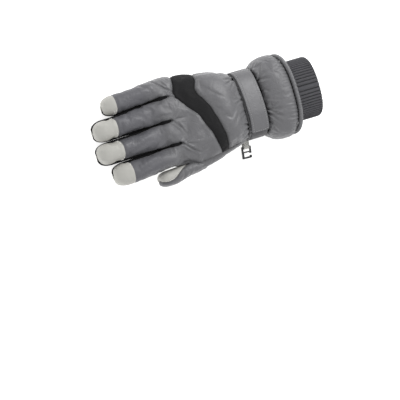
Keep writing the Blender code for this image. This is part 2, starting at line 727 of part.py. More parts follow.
# ---- thumb ----
def build_thumb():
    edge = 1.6
    start = HINGE_GAP / THUMB_LENGTH
    steps = [start, 0.12, 0.3, 0.5, 0.7, 0.85, 0.94, 0.985, 0.998]
    seam_root, seam_tip = 10, 118

    def seamed(on_back):
        """Columns that slide round the thumb from the crotch to the outer side of the tip."""
        def point(share, s, inset):
            top = mix(seam_root, seam_tip, ease(s * 1.15))
            under = -top
            low, high = (top + edge, 360 + under - edge) if on_back else (under + edge, top - edge)
            return thumb_point(mix(low, high, share), s, inset)
        return point

    skin = (depth(0), depth(THUMB_SHELL))
    panel("thumb_back", "thumb", "shell_nylon", spread(0, 1, 20), steps, seamed(True), *skin)
    panel("thumb_palm", "thumb", "pale_leather", spread(0, 1, 14), steps, seamed(False), *skin)
    ring = spread(0, 360, 20)[:-1]
    tip_steps = steps[:-2] + [0.97, 0.995]
    outer = THUMB_SHELL + THUMB_GAP
    sleeve("thumb_insulation", "thumb", "padding", ring, tip_steps, thumb_point,
           depth(outer), depth(outer, THUMB_FILL), closed_tip=True)
    outer += THUMB_FILL + EDGE_GAP
    sleeve("thumb_lining", "thumb", "fleece", ring, tip_steps, thumb_point,
           depth(outer), depth(outer, THUMB_LINING), closed_tip=True)


# ---- fingers ----
def build_finger(name):
    finger = FINGERS[name]
    length = finger["length"]
    edge = math.degrees(EDGE_GAP / 2 / (finger["width"] / 2))
    corner = FINGER_CORNER
    start = HINGE_GAP / length
    cap = 1 - finger["cap"] / length
    seam = EDGE_GAP / 2 / length
    body_steps = [start, 0.1, 0.22, 0.4, mix(0.4, cap, 0.5), cap - seam]
    cap_steps = [cap + seam, mix(cap, 1, 0.35), 1 - 0.5 * FINGER_DOME / length, 0.965, 0.99, 0.999]
    all_steps = body_steps[:-1] + [cap] + cap_steps[1:]
    left_side, right_side = finger["sides"]

    def point(angle, s, inset):
        return finger_point(name, angle, s, inset)

    skin = (depth(0), depth(SHELL))
    top = spread(corner + edge, 180 - corner - edge, 4)
    outer_left = [180 - corner, 180, 180 + corner - edge] if left_side == "thumb_side" else []
    outer_right = [-corner + edge, 0, corner] if right_side == "little_side" else []
    back = outer_right + (top[1:] if outer_right else top)
    back = (back[:-1] if outer_left else back) + outer_left
    panel(f"{name}_back", name, "shell_nylon", back, body_steps, point, *skin)
    panel(f"{name}_tip", name, "pale_leather", back, cap_steps, point, *skin)
    bottom = spread(180 + corner + edge, 360 - corner - edge, 4)
    panel(f"{name}_palm", name, "pale_leather", bottom, all_steps, point, *skin)
    if not outer_left:
        wall = [180 - corner + edge, 180, 180 + corner - edge]
        panel(f"{name}_thumbward_wall", name, "side_knit", wall, all_steps, point, *skin)
    if not outer_right:
        wall = [-corner + edge, 0, corner - edge]
        panel(f"{name}_outward_wall", name, "side_knit", wall, all_steps, point, *skin)

    ring = [0] + spread(corner, 180 - corner, 4) + [180] + spread(180 + corner, 360 - corner, 4)
    tip_steps = all_steps[:-2] + [0.985]
    outer = SHELL + LAYER_GAP
    sleeve(f"{name}_insulation", name, "padding", ring, tip_steps, point,
           depth(outer), depth(outer, FINGER_FILL), closed_tip=True)
    sleeve(f"{name}_lining", name, "fleece", ring, tip_steps, point,
           depth(outer, FINGER_FILL, LAYER_GAP), depth(outer, FINGER_FILL, LAYER_GAP, LINING),
           closed_tip=True)


# ---- cuff ----
def build_cuff():
    ring = spread(0, 360, 28)[:-1]
    start = HINGE_GAP / 2 / CUFF_LENGTH
    end = 1 - (HEM_RADIUS + EDGE_GAP) / (CUFF_LENGTH - HEM_SLANT)
    steps = spread(start, end, 4)
    sleeve("cuff_shell", "cuff", "shell_nylon", ring, steps, cuff_point, depth(0), depth(SHELL))
    fill = SHELL + LAYER_GAP
    sleeve("cuff_insulation", "cuff", "padding", ring, steps, cuff_point, depth(fill), depth(fill, CUFF_FILL))
    lining = fill + CUFF_FILL + LAYER_GAP
    sleeve("cuff_lining", "cuff", "fleece", ring, steps, cuff_point, depth(lining), depth(lining, LINING))
    build_hem()
    knit_ring = spread(0, 360, 32)[:-1]
    sleeve("knit_cuff", "cuff", "rib_knit", knit_ring, [0, 0.15, 0.3, 0.45, 0.7, 0.96, 1.0], knit_point,
           depth(0), depth(KNIT_THICKNESS))


def build_hem():
    """The rolled binding: a closed tube along the edge of the cuff."""
    curve = bpy.data.curves.new("hem_binding", "CURVE")
    curve.dimensions = "3D"
    curve.bevel_depth = HEM_RADIUS
    curve.bevel_resolution = 2
    spline = curve.splines.new("POLY")
    angles = spread(0, 360, 40)[:-1]
    spline.points.add(len(angles) - 1)
    for spot, angle in zip(spline.points, angles):
        centre = cuff_point(angle, 1.0, HEM_RADIUS)
        spot.co = (*centre, 1)
    spline.use_cyclic_u = True
    rough = bpy.data.objects.new("hem_curve", curve)
    bpy.context.scene.collection.objects.link(rough)
    bpy.context.view_layer.update()
    mesh = bpy.data.meshes.new_from_object(rough.evaluated_get(bpy.context.evaluated_depsgraph_get()))
    bm = bmesh.new()
    bm.from_mesh(mesh)
    bmesh.ops.remove_doubles(bm, verts=bm.verts, dist=0.00001)
    bpy.data.objects.remove(rough)
    place(object_from("hem_binding", bm), "cuff", "binding")


# ---- the whole glove ----
def centre_on_footprint():
    """Hangs everything from one empty, so that the middle of the footprint is the origin."""
    bpy.context.view_layer.update()
    corners = [obj.matrix_world @ Vector(c) for obj in GLOVE.objects for c in obj.bound_box]
    low = Vector([min(c[i] for c in corners) for i in range(3)])
    high = Vector([max(c[i] for c in corners) for i in range(3)])
    root = bpy.data.objects.new("glove_origin", None)
    GLOVE.objects.link(root)
    root.location = (-(low.x + high.x) / 2, -(low.y + high.y) / 2, -low.z)
    for obj in list(GLOVE.objects) + list(CUTTERS.objects):
        if obj is not root:
            obj.parent = root
    return root


def build():
    for obj in list(bpy.data.objects):
        bpy.data.objects.remove(obj)
    bpy.context.scene.collection.children.link(GLOVE)
    bpy.context.scene.collection.children.link(CUTTERS)
    build_hand()
    build_wrist()
    build_strap()
    build_clip()
    build_thumb()
    for name in FINGERS:
        build_finger(name)
    build_cuff()
    centre_on_footprint()


build()
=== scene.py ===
# %% [markdown]
# # An insulated ski glove
# The glove is a right hand, lying palm down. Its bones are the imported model: the bodies that turn, and the
# plain solid of each layer. This script gives those layers their looks: padded nylon that wrinkles, pale
# leather caps with a stitched seam, dark knit between the fingers, a puffy cuff and a ribbed inner cuff.
# Everything is worked out in millimetres with y = 0 at the wrist crease, +X to the little finger, +Y to the
# fingertips and +Z up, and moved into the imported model's frame when an object is made.

# %% Load the frame
import math

import bmesh
import bpy
import numpy as np
from mathutils import Matrix, Vector, noise
from mathutils.bvhtree import BVHTree
from mathutils.kdtree import KDTree


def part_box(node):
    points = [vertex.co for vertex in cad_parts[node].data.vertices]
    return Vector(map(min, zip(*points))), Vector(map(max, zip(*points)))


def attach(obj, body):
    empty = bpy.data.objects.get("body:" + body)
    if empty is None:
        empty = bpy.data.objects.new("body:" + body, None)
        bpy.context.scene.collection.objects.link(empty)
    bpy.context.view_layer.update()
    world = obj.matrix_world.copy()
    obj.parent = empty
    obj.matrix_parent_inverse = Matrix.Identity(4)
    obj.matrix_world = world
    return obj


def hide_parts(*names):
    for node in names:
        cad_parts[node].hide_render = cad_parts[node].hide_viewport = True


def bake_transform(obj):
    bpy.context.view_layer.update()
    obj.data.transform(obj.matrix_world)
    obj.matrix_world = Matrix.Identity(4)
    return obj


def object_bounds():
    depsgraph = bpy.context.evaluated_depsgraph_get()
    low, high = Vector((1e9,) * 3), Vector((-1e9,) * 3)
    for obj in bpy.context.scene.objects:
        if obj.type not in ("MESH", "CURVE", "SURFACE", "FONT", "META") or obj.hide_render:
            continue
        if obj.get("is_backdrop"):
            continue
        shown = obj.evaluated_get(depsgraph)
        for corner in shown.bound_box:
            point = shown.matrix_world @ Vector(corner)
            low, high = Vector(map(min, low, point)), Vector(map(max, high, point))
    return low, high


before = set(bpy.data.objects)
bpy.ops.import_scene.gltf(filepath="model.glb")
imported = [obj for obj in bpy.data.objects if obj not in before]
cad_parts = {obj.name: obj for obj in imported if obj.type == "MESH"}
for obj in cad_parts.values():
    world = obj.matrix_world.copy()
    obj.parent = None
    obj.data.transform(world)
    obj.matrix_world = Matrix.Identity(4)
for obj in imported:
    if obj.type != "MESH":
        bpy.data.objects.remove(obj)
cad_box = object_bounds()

MM = 0.001
HINGE_GAP = 0.8
band_low, band_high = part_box("wrist_band")
SHIFT = np.array([(band_low.x + band_high.x) / 2, band_low.y - HINGE_GAP / 2 * MM, 0.0])
print("wrist crease at", np.round(SHIFT / MM, 2), "mm")


def to_frame(points):
    """The maker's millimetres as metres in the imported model's frame."""
    return np.asarray(points) * MM + SHIFT


# %% [markdown]
# ## Camera
# The glove is seen from in front of the fingertips and from high above, through a long lens, and it lies
# across the view with its fingers to the left. A Track To constraint could aim the camera, but it would not
# let the view turn about its own axis. A camera is an object that looks along its own -Z, so three
# directions place it here: what is to the right, what is up, and what is towards the eye.

# %% Camera
ELEVATION = math.radians(65)
TURNED = math.radians(16.5)
LENS = 300
SENSOR = 36
MM_PER_STEP = 1.25
FRAME_STEPS = 400
VIEW_CENTRE = Vector((0, 80, 20))
VIEW_OFFSET = Vector((0.5 / FRAME_STEPS, 81 / FRAME_STEPS, 0))


def make_camera():
    towards = Vector((0, math.cos(ELEVATION), math.sin(ELEVATION)))
    across = Vector((0, math.sin(ELEVATION), -math.cos(ELEVATION)))
    side = Vector((1, 0, 0))
    right = -across * math.cos(TURNED) - side * math.sin(TURNED)
    up = -across * math.sin(TURNED) + side * math.cos(TURNED)
    distance = MM_PER_STEP * FRAME_STEPS * LENS / SENSOR
    camera = bpy.data.objects.new("camera", bpy.data.cameras.new("camera"))
    camera.data.lens = LENS
    camera.data.sensor_width = SENSOR
    camera.data.clip_end = 20
    turned = Matrix((right, up, towards)).transposed()
    aim = Vector((-VIEW_OFFSET.x * SENSOR / LENS, VIEW_OFFSET.y * SENSOR / LENS, -1)).normalized()
    correction = Vector((0, 0, -1)).rotation_difference(aim).to_matrix().inverted()
    place = (turned @ correction).to_4x4()
    place.translation = Vector(to_frame(VIEW_CENTRE)) + towards * distance * MM
    camera.matrix_world = place
    bpy.context.scene.collection.objects.link(camera)
    bpy.context.scene.camera = camera
    return camera


camera = make_camera()
print("camera at", [round(v, 3) for v in camera.location])


# %% [markdown]
# ## Floor and light
# The glove is shown on white paper. A hard sun would cut every fold out, and a sky alone would leave the
# padding flat, so one broad soft lamp stands high behind the little finger's side, a weaker one opens the
# shadows, and an even pale sky with a faint glow of the paper itself keeps the ground white.

# %% Floor and light
FLOOR_HALF = 3.0
FLOOR_COLOUR = (0.95, 0.95, 0.95)
FLOOR_GLOW = 0.7
KEY_LAMP = {"place": (0.55, -0.6, 1.05), "size": 0.7, "watts": 11}
FILL_LAMP = {"place": (-0.9, 0.5, 0.9), "size": 1.2, "watts": 1.2}
SKY_STRENGTH = 0.66


def make_floor():
    bm = bmesh.new()
    bmesh.ops.create_grid(bm, x_segments=8, y_segments=8, size=FLOOR_HALF)
    mesh = bpy.data.meshes.new("floor")
    bm.to_mesh(mesh)
    bm.free()
    floor = bpy.data.objects.new("floor", mesh)
    bpy.context.scene.collection.objects.link(floor)
    paper = bpy.data.materials.new("floor_paper")
    paper.use_nodes = True
    shader = paper.node_tree.nodes["Principled BSDF"]
    shader.inputs["Base Color"].default_value = (*FLOOR_COLOUR, 1)
    shader.inputs["Roughness"].default_value = 0.9
    shader.inputs["Emission Color"].default_value = (1, 1, 1, 1)
    shader.inputs["Emission Strength"].default_value = FLOOR_GLOW
    floor.data.materials.append(paper)
    floor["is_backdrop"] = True
    return floor


def soft_lamp(name, place, size, watts, target=(0, 0, 0)):
    lamp = bpy.data.lights.new(name, "AREA")
    lamp.shape = "DISK"
    lamp.size = size
    lamp.energy = watts
    made = bpy.data.objects.new(name, lamp)
    made.location = place
    made.rotation_euler = (Vector(target) - Vector(place)).to_track_quat("-Z", "Y").to_euler()
    bpy.context.scene.collection.objects.link(made)
    return made


def make_sky(strength):
    world = bpy.data.worlds.new("studio")
    bpy.context.scene.world = world
    world.use_nodes = True
    world.node_tree.nodes["Background"].inputs["Color"].default_value = (1, 1, 1, 1)
    world.node_tree.nodes["Background"].inputs["Strength"].default_value = strength


floor = make_floor()
key = soft_lamp("key", **KEY_LAMP)
fill = soft_lamp("fill", **FILL_LAMP)
make_sky(SKY_STRENGTH)
bpy.context.scene.view_settings.view_transform = "Standard"
print("floor", FLOOR_HALF * 2, "m wide, key", key.data.energy, "W, fill", fill.data.energy, "W")


# %% [markdown]
# ## Curves every layer shares
# A panel's outline could be drawn as a curve object, but its thousands of points have to be moved one by
# one later, so the helpers below work on whole arrays of numbers at once. `ease` is a step with soft ends,
# `signed_power` squares off a circle, and `dome` rounds a tip.

# %% Helpers for curves
def mix(a, b, t):
    return a + (b - a) * t


def clamp(t):
    return np.clip(t, 0.0, 1.0)


def ease(t):
    t = clamp(t)
    return t * t * (3 - 2 * t)


def signed_power(value, power):
    return np.sign(value) * np.abs(value) ** power


def dome(distance, length, power=2.4):
    return (1 - (1 - clamp(distance / length)) ** power) ** (1 / power)


def circle(degrees):
    turned = np.radians(degrees)
    return np.cos(turned), np.sin(turned)


def stacked(x, y, z):
    return np.stack(np.broadcast_arrays(x, y, z), axis=-1).astype(float)


print("ease goes", [round(float(ease(t)), 3) for t in (0, 0.25, 0.5, 1)])
print("a 10 mm dome is", [round(float(dome(d, 10)), 2) for d in (0, 1, 5, 10)], "of its width")


# %% [markdown]
# ## The skin of the hand
# Across the hand the skin is a squared-off ring: an angle of 0 is the little-finger side, 90 the back, 180
# the thumb side and 270 the palm. Along the hand the ring widens from the wrist to the knuckles, and the
# root of the thumb pushes its side out. `inset` is how far under the skin a point lies. The hand could be
# sculpted by eye, but then each layer would have to be fitted to the next. With one function for the skin,
# the panels, the linings and the stitches lie on the same surface, each at its own depth.

# %% Hand sizes and skin
WRIST_WIDTH = 85
WRIST_HEIGHT = 46
BAND_LENGTH = 28
HAND_LENGTH = 92
THUMB_SIDE_REACH = 54.5
LITTLE_SIDE_REACH = 56.5
KNUCKLE_HEIGHT = 38
HAND_LOFT = 10
PALM_DRIFT = 6
ROUNDNESS = 2.5
SAG = 2
SIDE_ANGLE = 32
PALM_Z = 1.5
LOFT_FORWARD = 0.7
THUMB_MOUND = 12.2
MOUND_SWELL = 1.3
MOUND_SPREAD = SIDE_ANGLE + 4
SHOULDER_START = 70
SHOULDER_LENGTH = 17


def hand_outline(y):
    t = clamp((y - BAND_LENGTH) / HAND_LENGTH)
    rise = np.sin(t * np.pi / 2)
    thumb_side = mix(WRIST_WIDTH / 2, THUMB_SIDE_REACH, rise)
    little_side = mix(WRIST_WIDTH / 2, LITTLE_SIDE_REACH, rise)
    height = mix(WRIST_HEIGHT, KNUCKLE_HEIGHT, ease(t)) + HAND_LOFT * np.sin(np.pi * t ** LOFT_FORWARD) ** 2
    return PALM_DRIFT * t, thumb_side, little_side, height


def thumb_mound(angle, y):
    grown = clamp((y - BAND_LENGTH) / SHOULDER_START) ** MOUND_SWELL
    grown = grown * (1 - ease((y - BAND_LENGTH - SHOULDER_START) / SHOULDER_LENGTH))
    return THUMB_MOUND * grown * ease(1 - np.abs(angle % 360 - 180) / MOUND_SPREAD)


def hand_point(angle, y, inset=0.0):
    angle, y = np.asarray(angle, float), np.asarray(y, float)
    centre, thumb_side, little_side, height = hand_outline(y)
    c, s = circle(angle)
    reach = np.where(c > 0, little_side, thumb_side) - inset
    x = centre + reach * signed_power(c, 2 / ROUNDNESS) - thumb_mound(angle, y)
    z = height / 2 - SAG + (height / 2 - inset) * signed_power(s, 2 / ROUNDNESS)
    return stacked(x, y, PALM_Z + np.maximum(z, inset))


def hand_angle(x, y):
    """The angle of the back's point above x."""
    centre, thumb_side, little_side, _ = hand_outline(y)
    share = np.clip((x - centre) / np.where(x > centre, little_side, thumb_side), -1, 1)
    return np.degrees(np.arccos(signed_power(share, ROUNDNESS / 2)))


def hand_line(points):
    """A line across the back, given as (x, y) points, as a function of the angle."""
    knots = sorted((float(hand_angle(x, y)), y) for x, y in points)
    angles, heights = zip(*knots)
    return lambda angle: np.interp(angle, angles, heights)


print("the back is at", hand_point(90, BAND_LENGTH + HAND_LENGTH / 2).round(1), "mm halfway to the knuckles")


# %% [markdown]
# ## The skin of a finger
# Each finger is a padded tube with a rounded end. Four plain tubes pushed into the hand would show a crease
# where each meets it, and on the real glove the cloth runs on without a seam. So a finger starts as a slice
# of the hand's own end, and becomes a rounded tube with a domed tip on its way.

# %% Finger sizes and skin
CROTCH_MIDDLE_Y = BAND_LENGTH + HAND_LENGTH
CROTCH_Y = {"thumb_side": 120.0, "index_middle": 120.5, "middle_ring": 126.5, "ring_little": 122.0,
            "little_side": 122.0}
CROTCH_X = {"index_middle": -22.5, "middle_ring": 8.0, "ring_little": 38.0}
FINGERS = {
    "little": {"length": 81, "x": 46.4, "width": 23.4, "cap": 15, "sides": ("ring_little", "little_side")},
    "ring": {"length": 102, "x": 19.3, "width": 25.6, "cap": 28, "sides": ("middle_ring", "ring_little")},
    "middle": {"length": 105, "x": -9.2, "width": 26.4, "cap": 31, "sides": ("index_middle", "middle_ring")},
    "index": {"length": 91, "x": -38.7, "width": 26.8, "cap": 22, "sides": ("thumb_side", "index_middle")},
}
FINGER_TIP_HEIGHT = 25
FINGER_DOME = 17
FINGER_BLEND = 20
SLIT_AT_ROOT = 1.4
WIDTH_SETTLES = 1.4
MIDDLE_SETTLES = 1.2
SIDE_CORNER = 38
SEAM_CORNER = 12
PALM_CORNER = 38


def finger_edges(name, side_angle=0):
    left, right = FINGERS[name]["sides"]
    _, thumb_side, little_side, _ = hand_outline(CROTCH_MIDDLE_Y)
    corner = math.cos(math.radians(side_angle)) ** (2 / ROUNDNESS)
    outer = {"thumb_side": PALM_DRIFT - thumb_side * corner, "little_side": PALM_DRIFT + little_side * corner}
    return CROTCH_X.get(left, outer.get(left)), CROTCH_X.get(right, outer.get(right))


def back_corners(name):
    """The angles where a finger's back cloth starts and ends: at a seam, or past the hand's own side."""
    left, right = FINGERS[name]["sides"]
    first = -PALM_CORNER if right == "little_side" else SEAM_CORNER
    last = 180 + PALM_CORNER if left == "thumb_side" else 180 - SEAM_CORNER
    return first, last


def back_height(x, inset):
    centre, thumb_side, little_side, height = hand_outline(CROTCH_MIDDLE_Y)
    reach = np.where(x > centre, little_side, thumb_side) - inset
    share = np.minimum(np.abs(x - centre) / reach, 1.0)
    return PALM_Z + height / 2 - SAG + (height / 2 - inset) * (1 - share ** ROUNDNESS) ** (1 / ROUNDNESS)


def root_point(name, angle, inset):
    """Where a finger leaves the hand: the hand's skin above and below, and a fold at each side."""
    left_side, right_side = FINGERS[name]["sides"]
    left, right = finger_edges(name, SIDE_ANGLE)
    on_left, on_right = left_side == "thumb_side", right_side == "little_side"
    low = left + (inset * 0.8 if on_left else inset + SLIT_AT_ROOT / 2)
    high = right - (inset * 0.8 if on_right else inset + SLIT_AT_ROOT / 2)
    first = SIDE_CORNER if on_right else SEAM_CORNER
    last = 180 - (SIDE_CORNER if on_left else SEAM_CORNER)
    turned = (np.asarray(angle, float) + 90) % 360 - 90
    stations = (-90, -PALM_CORNER, first, last, 180 + PALM_CORNER, 270)
    x = mix(low, high, np.interp(turned, stations, (0.5, 1, 1, 0, 0, 0.5)))
    level = np.interp(turned, stations, (0, 0, 1, 1, 0, 0))
    _, _, _, height = hand_outline(CROTCH_MIDDLE_Y)
    top = back_height(x, inset)
    bottom = PALM_Z + inset + np.maximum(height - SAG - back_height(x, 0.0) + PALM_Z - SAG, 0.0)
    root = stacked(x, CROTCH_MIDDLE_Y, mix(bottom, top, level))
    for on_side, middle, near in ((on_left, 180, turned > last), (on_right, 0, turned < first)):
        if on_side:
            beside = np.interp(turned, (middle - SIDE_CORNER, middle + SIDE_CORNER),
                               (middle - SIDE_ANGLE, middle + SIDE_ANGLE))
            inside = near & (np.abs(turned - middle) < SIDE_CORNER)
            root = np.where(inside[..., None], hand_point(beside, CROTCH_MIDDLE_Y, inset), root)
    return root


def finger_root_y(name, angle):
    left, right = FINGERS[name]["sides"]
    share = (1 + signed_power(np.cos(np.radians(angle)), 0.8)) / 2
    return mix(CROTCH_Y[left], CROTCH_Y[right], share)


def finger_point(name, angle, s, inset=0.0):
    """A point of a finger's ring: s is 0 at its root and 1 at the very tip."""
    finger = FINGERS[name]
    angle, s = np.broadcast_arrays(np.asarray(angle, float), np.asarray(s, float))
    root_y = finger_root_y(name, angle)
    tip_y = CROTCH_MIDDLE_Y + finger["length"] - inset
    y = mix(root_y, tip_y, s)
    left, right = finger_edges(name)
    c, p = circle(angle)
    power = 2 / ROUNDNESS
    narrowing = dome(tip_y - y, FINGER_DOME - inset)
    half_width = mix((right - left - SLIT_AT_ROOT) / 2, finger["width"] / 2, ease(s * WIDTH_SETTLES))
    half_height = mix(KNUCKLE_HEIGHT / 2 - SAG / 2, FINGER_TIP_HEIGHT / 2, s)
    middle_z = mix(PALM_Z + KNUCKLE_HEIGHT / 2 - SAG / 2, FINGER_TIP_HEIGHT / 2, s)
    x = mix((left + right) / 2, finger["x"], ease(s * MIDDLE_SETTLES))
    x = x + (half_width - inset) * narrowing * signed_power(c, power)
    z = middle_z + (half_height - inset) * narrowing * signed_power(p, power)
    root = root_point(name, angle, inset)
    share = ease((y - root_y) / FINGER_BLEND)
    return stacked(mix(root[..., 0], x, share), y, mix(root[..., 2], z, share))


for name in FINGERS:
    print(f"  {name} finger ends at", finger_point(name, 90, 1.0).round(1), "mm")


# %% [markdown]
# ## The skins of the thumb, the cuff and the knit cuff
# The thumb is a flattened tube that starts inside the mound on the side of the hand. The cuff flares from
# the wrist crease to a slanted hem, and the knit cuff narrows again inside it. A lathe or a loft could make
# such tubes too. Functions of an angle and a share of the length do the same, and they also tell the
# gathers, the ribs and the stitches where the surface is.

# %% Thumb, cuff and knit sizes and skins
THUMB_ROOT_Y = BAND_LENGTH + SHOULDER_START + 4.6
THUMB_LENGTH = 51
THUMB_INNER_X = -49.2
THUMB_ROOT_WIDTH = 13.4
THUMB_TIP_WIDTH = 18
THUMB_OUTWARD = 1.6
THUMB_ROOT_HEIGHT = 28
THUMB_TIP_HEIGHT = 23
THUMB_SLANT = 4
THUMB_DOME = 12
THUMB_ROUNDNESS = 2.3
CUFF_WIDTH = 105
CUFF_HEIGHT = 62
CUFF_LENGTH = 36
HEM_SLANT = 6
HEM_RADIUS = 3
KNIT_WIDTH = 76
KNIT_HEIGHT = 45
KNIT_SHOWN = 39
KNIT_SLANT = 3
KNIT_UNDER = 7
KNIT_HIDDEN = 20
HEM_STRETCH = 1.17


def thumb_point(angle, s, inset=0.0):
    """s is 0 at the thumb's root, 1 at its tip, and below 0 where its skin runs back into the mound."""
    c, p = circle(angle)
    root_y = THUMB_ROOT_Y + THUMB_SLANT * signed_power(c, 2 / THUMB_ROUNDNESS)
    tip_y = THUMB_ROOT_Y + THUMB_LENGTH - inset
    y = mix(root_y, tip_y, s)
    narrowing = dome(tip_y - y, THUMB_DOME - inset)
    half_width = mix(THUMB_ROOT_WIDTH, THUMB_TIP_WIDTH, ease(s * 1.5)) / 2
    half_height = mix(THUMB_ROOT_HEIGHT, THUMB_TIP_HEIGHT, s) / 2
    x = THUMB_INNER_X - THUMB_OUTWARD * ease(s * 1.2) - half_width
    x = x + (half_width - inset) * narrowing * signed_power(c, 2 / THUMB_ROUNDNESS)
    z = half_height + SAG / 4 + (half_height - inset) * narrowing * signed_power(p, 2 / THUMB_ROUNDNESS)
    return stacked(x, y, z)


def hem_y(angle):
    return -CUFF_LENGTH - HEM_SLANT * np.sin(np.radians(angle))


def cuff_point(angle, s, inset=0.0):
    """s is 0 at the wrist crease and 1 at the hem."""
    c, p = circle(angle)
    rise = np.sin(np.asarray(s, float) * np.pi / 2)
    half_width = mix(WRIST_WIDTH, CUFF_WIDTH, rise) / 2
    half_height = mix(WRIST_HEIGHT, CUFF_HEIGHT, rise) / 2
    x = (half_width - inset) * signed_power(c, 2 / ROUNDNESS)
    z = half_height - SAG + (half_height - inset) * signed_power(p, 2 / ROUNDNESS)
    low = mix(PALM_Z, 0.0, ease(np.asarray(s, float) * 2))
    return stacked(x, mix(0.0, hem_y(angle), s), low + np.maximum(z, inset))


def knit_point(angle, s, inset=0.0):
    """s is 0 at the hidden edge inside the cuff and 1 at the open end."""
    c, p = circle(angle)
    start = cuff_point(angle, KNIT_HIDDEN / CUFF_LENGTH / HEM_STRETCH, KNIT_UNDER + inset)
    x = (KNIT_WIDTH / 2 - inset) * signed_power(c, 2 / ROUNDNESS)
    z = CUFF_HEIGHT / 2 - SAG + (KNIT_HEIGHT / 2 - inset) * signed_power(p, 2 / ROUNDNESS)
    share = ease(np.asarray(s, float) * 2.2)
    last = -CUFF_LENGTH - KNIT_SHOWN - KNIT_SLANT * p
    return stacked(mix(start[..., 0], x, share), mix(start[..., 1], last, s), mix(start[..., 2], z, share))


print("the thumb ends at", thumb_point(90, 1.0).round(1), "mm")
print("the hem is at y", hem_y(90), "on the back and", hem_y(270), "mm on the palm side")


# %% [markdown]
# ## From a flat sheet to a sewn panel
# Every panel starts as a flat grid, as cloth comes off the roll, and each of its points is carried onto the
# skin. Sheets that are cut in one piece are joined where their edges meet. Then comes what sewing does: an
# edge rolls under into its seam, padding crowns the middle, and the thread's pull puckers the cloth in
# short ridges that run away from the seam. A bump map could draw the puckers, but the outline would stay
# smooth, so they are moved into the mesh.

# %% Sheets and sewing
def flat_grid(columns, rows):
    """A grid from 0 to 1 both ways, and each vertex's place in it."""
    bm = bmesh.new()
    bmesh.ops.create_grid(bm, x_segments=columns, y_segments=rows, size=0.5)
    bm.verts.ensure_lookup_table()
    spots = np.array([v.co[:2] for v in bm.verts]) + 0.5
    return bm, spots[:, 0], spots[:, 1]


def lay_sheet(columns, rows, skin, sheet=0):
    """Carries a flat grid onto skin(u, v), which gives millimetres, and maps its cloth in millimetres."""
    bm, u, v = flat_grid(columns, rows)
    points = skin(u, v)
    order = np.lexsort((np.round(u * columns), np.round(v * rows)))
    laid = points[order].reshape(rows + 1, columns + 1, 3)
    around = np.zeros(laid.shape[:2])
    around[:, 1:] = np.cumsum(np.linalg.norm(np.diff(laid, axis=1), axis=2), axis=1)
    along = np.zeros(laid.shape[:2])
    along[1:] = np.cumsum(np.linalg.norm(np.diff(laid, axis=0), axis=2), axis=0)
    cloth = np.empty((len(points), 2))
    cloth[order, 0] = (around - around[:, -1:] / 2).ravel()
    cloth[order, 1] = along.ravel()
    pattern = bm.loops.layers.uv.new("cloth")
    for vertex, point in zip(bm.verts, points):
        vertex.co = point
    bm.verts.index_update()
    for face in bm.faces:
        face.smooth = True
        face.material_index = sheet
        for loop in face.loops:
            loop[pattern].uv = cloth[loop.vert.index] * MM
    return bm


def join_sheets(sheets, within=0.05):
    """Several grids as one cloth, merged where their edges meet."""
    joined = sheets[0]
    for other in sheets[1:]:
        part = bpy.data.meshes.new("part")
        other.to_mesh(part)
        other.free()
        joined.from_mesh(part)
        bpy.data.meshes.remove(part)
    bmesh.ops.remove_doubles(joined, verts=joined.verts, dist=within)
    return joined


def face_outwards(bm, outward):
    """Turns all the faces over if they look against outward(point), read at the middle face."""
    bm.normal_update()
    votes = sum(1 if f.normal.dot(outward(f.calc_center_median())) > 0 else -1 for f in list(bm.faces)[::7])
    if votes < 0:
        bmesh.ops.reverse_faces(bm, faces=bm.faces)
    bm.normal_update()


def read_points(bm):
    return np.array([v.co for v in bm.verts])


def read_normals(bm):
    bm.normal_update()
    return np.array([v.normal for v in bm.verts])


def write_points(bm, points):
    for vertex, point in zip(bm.verts, points):
        vertex.co = point


def seam_reach(bm):
    """For each vertex, how far it is from the cloth's nearest sewn edge, and where that is."""
    edge = [v for v in bm.verts if v.is_boundary]
    if not edge:
        return np.full(len(bm.verts), 1000.0), read_points(bm)
    tree = KDTree(len(edge))
    for i, vertex in enumerate(edge):
        tree.insert(vertex.co, i)
    tree.balance()
    found = [tree.find(v.co) for v in bm.verts]
    return np.array([f[2] for f in found]), np.array([f[0] for f in found])


def waves(points, scale, seed):
    """Smooth noise from -1 to 1 at points, with bumps about scale millimetres across."""
    offset = Vector((seed * 17.3, seed * 5.1, -seed * 9.7))
    return np.array([noise.noise(Vector(p) / scale + offset) for p in points])


def sew(bm, tuck=1.2, roll=2.2, crown=1.2, crown_reach=9.0, pucker=0.45, pitch=3.2, reach=6.0, seed=1):
    """What sewing does to a padded cloth, along its own normals."""
    points, normals = read_points(bm), read_normals(bm)
    far, nearest = seam_reach(bm)
    lift = crown * (1 - np.exp(-far / crown_reach)) - tuck * np.exp(-(far / roll) ** 2)
    lift += pucker * waves(nearest, pitch, seed) * np.exp(-far / reach) * clamp(far / 1.5)
    write_points(bm, points + normals * lift[:, None])
    return far


def crease(points, start, end, width, depth, bulge=0.5):
    """A fold from start to end, seen from above: a groove that fades out, with a low ridge beside it."""
    a, b = np.array(start, float), np.array(end, float)
    d = b - a
    t = ((points[:, :2] - a) @ d) / (d @ d)
    away = np.abs((points[:, 0] - a[0]) * d[1] - (points[:, 1] - a[1]) * d[0]) / np.hypot(*d)
    fade = np.where((t > -0.3) & (t < 1), np.sin(np.pi * clamp((t + 0.3) / 1.3)) ** 0.8, 0.0)
    shape = -np.exp(-(away / width) ** 2) + bulge * np.exp(-((away - 2 * width) / (1.2 * width)) ** 2)
    return depth * fade * shape


def folded(points, folds):
    """Several creases added up; each is a start, an end, a width and a depth."""
    return sum(crease(points, *fold) for fold in folds)


def displace(bm, lift):
    points, normals = read_points(bm), read_normals(bm)
    write_points(bm, points + normals * lift[:, None])


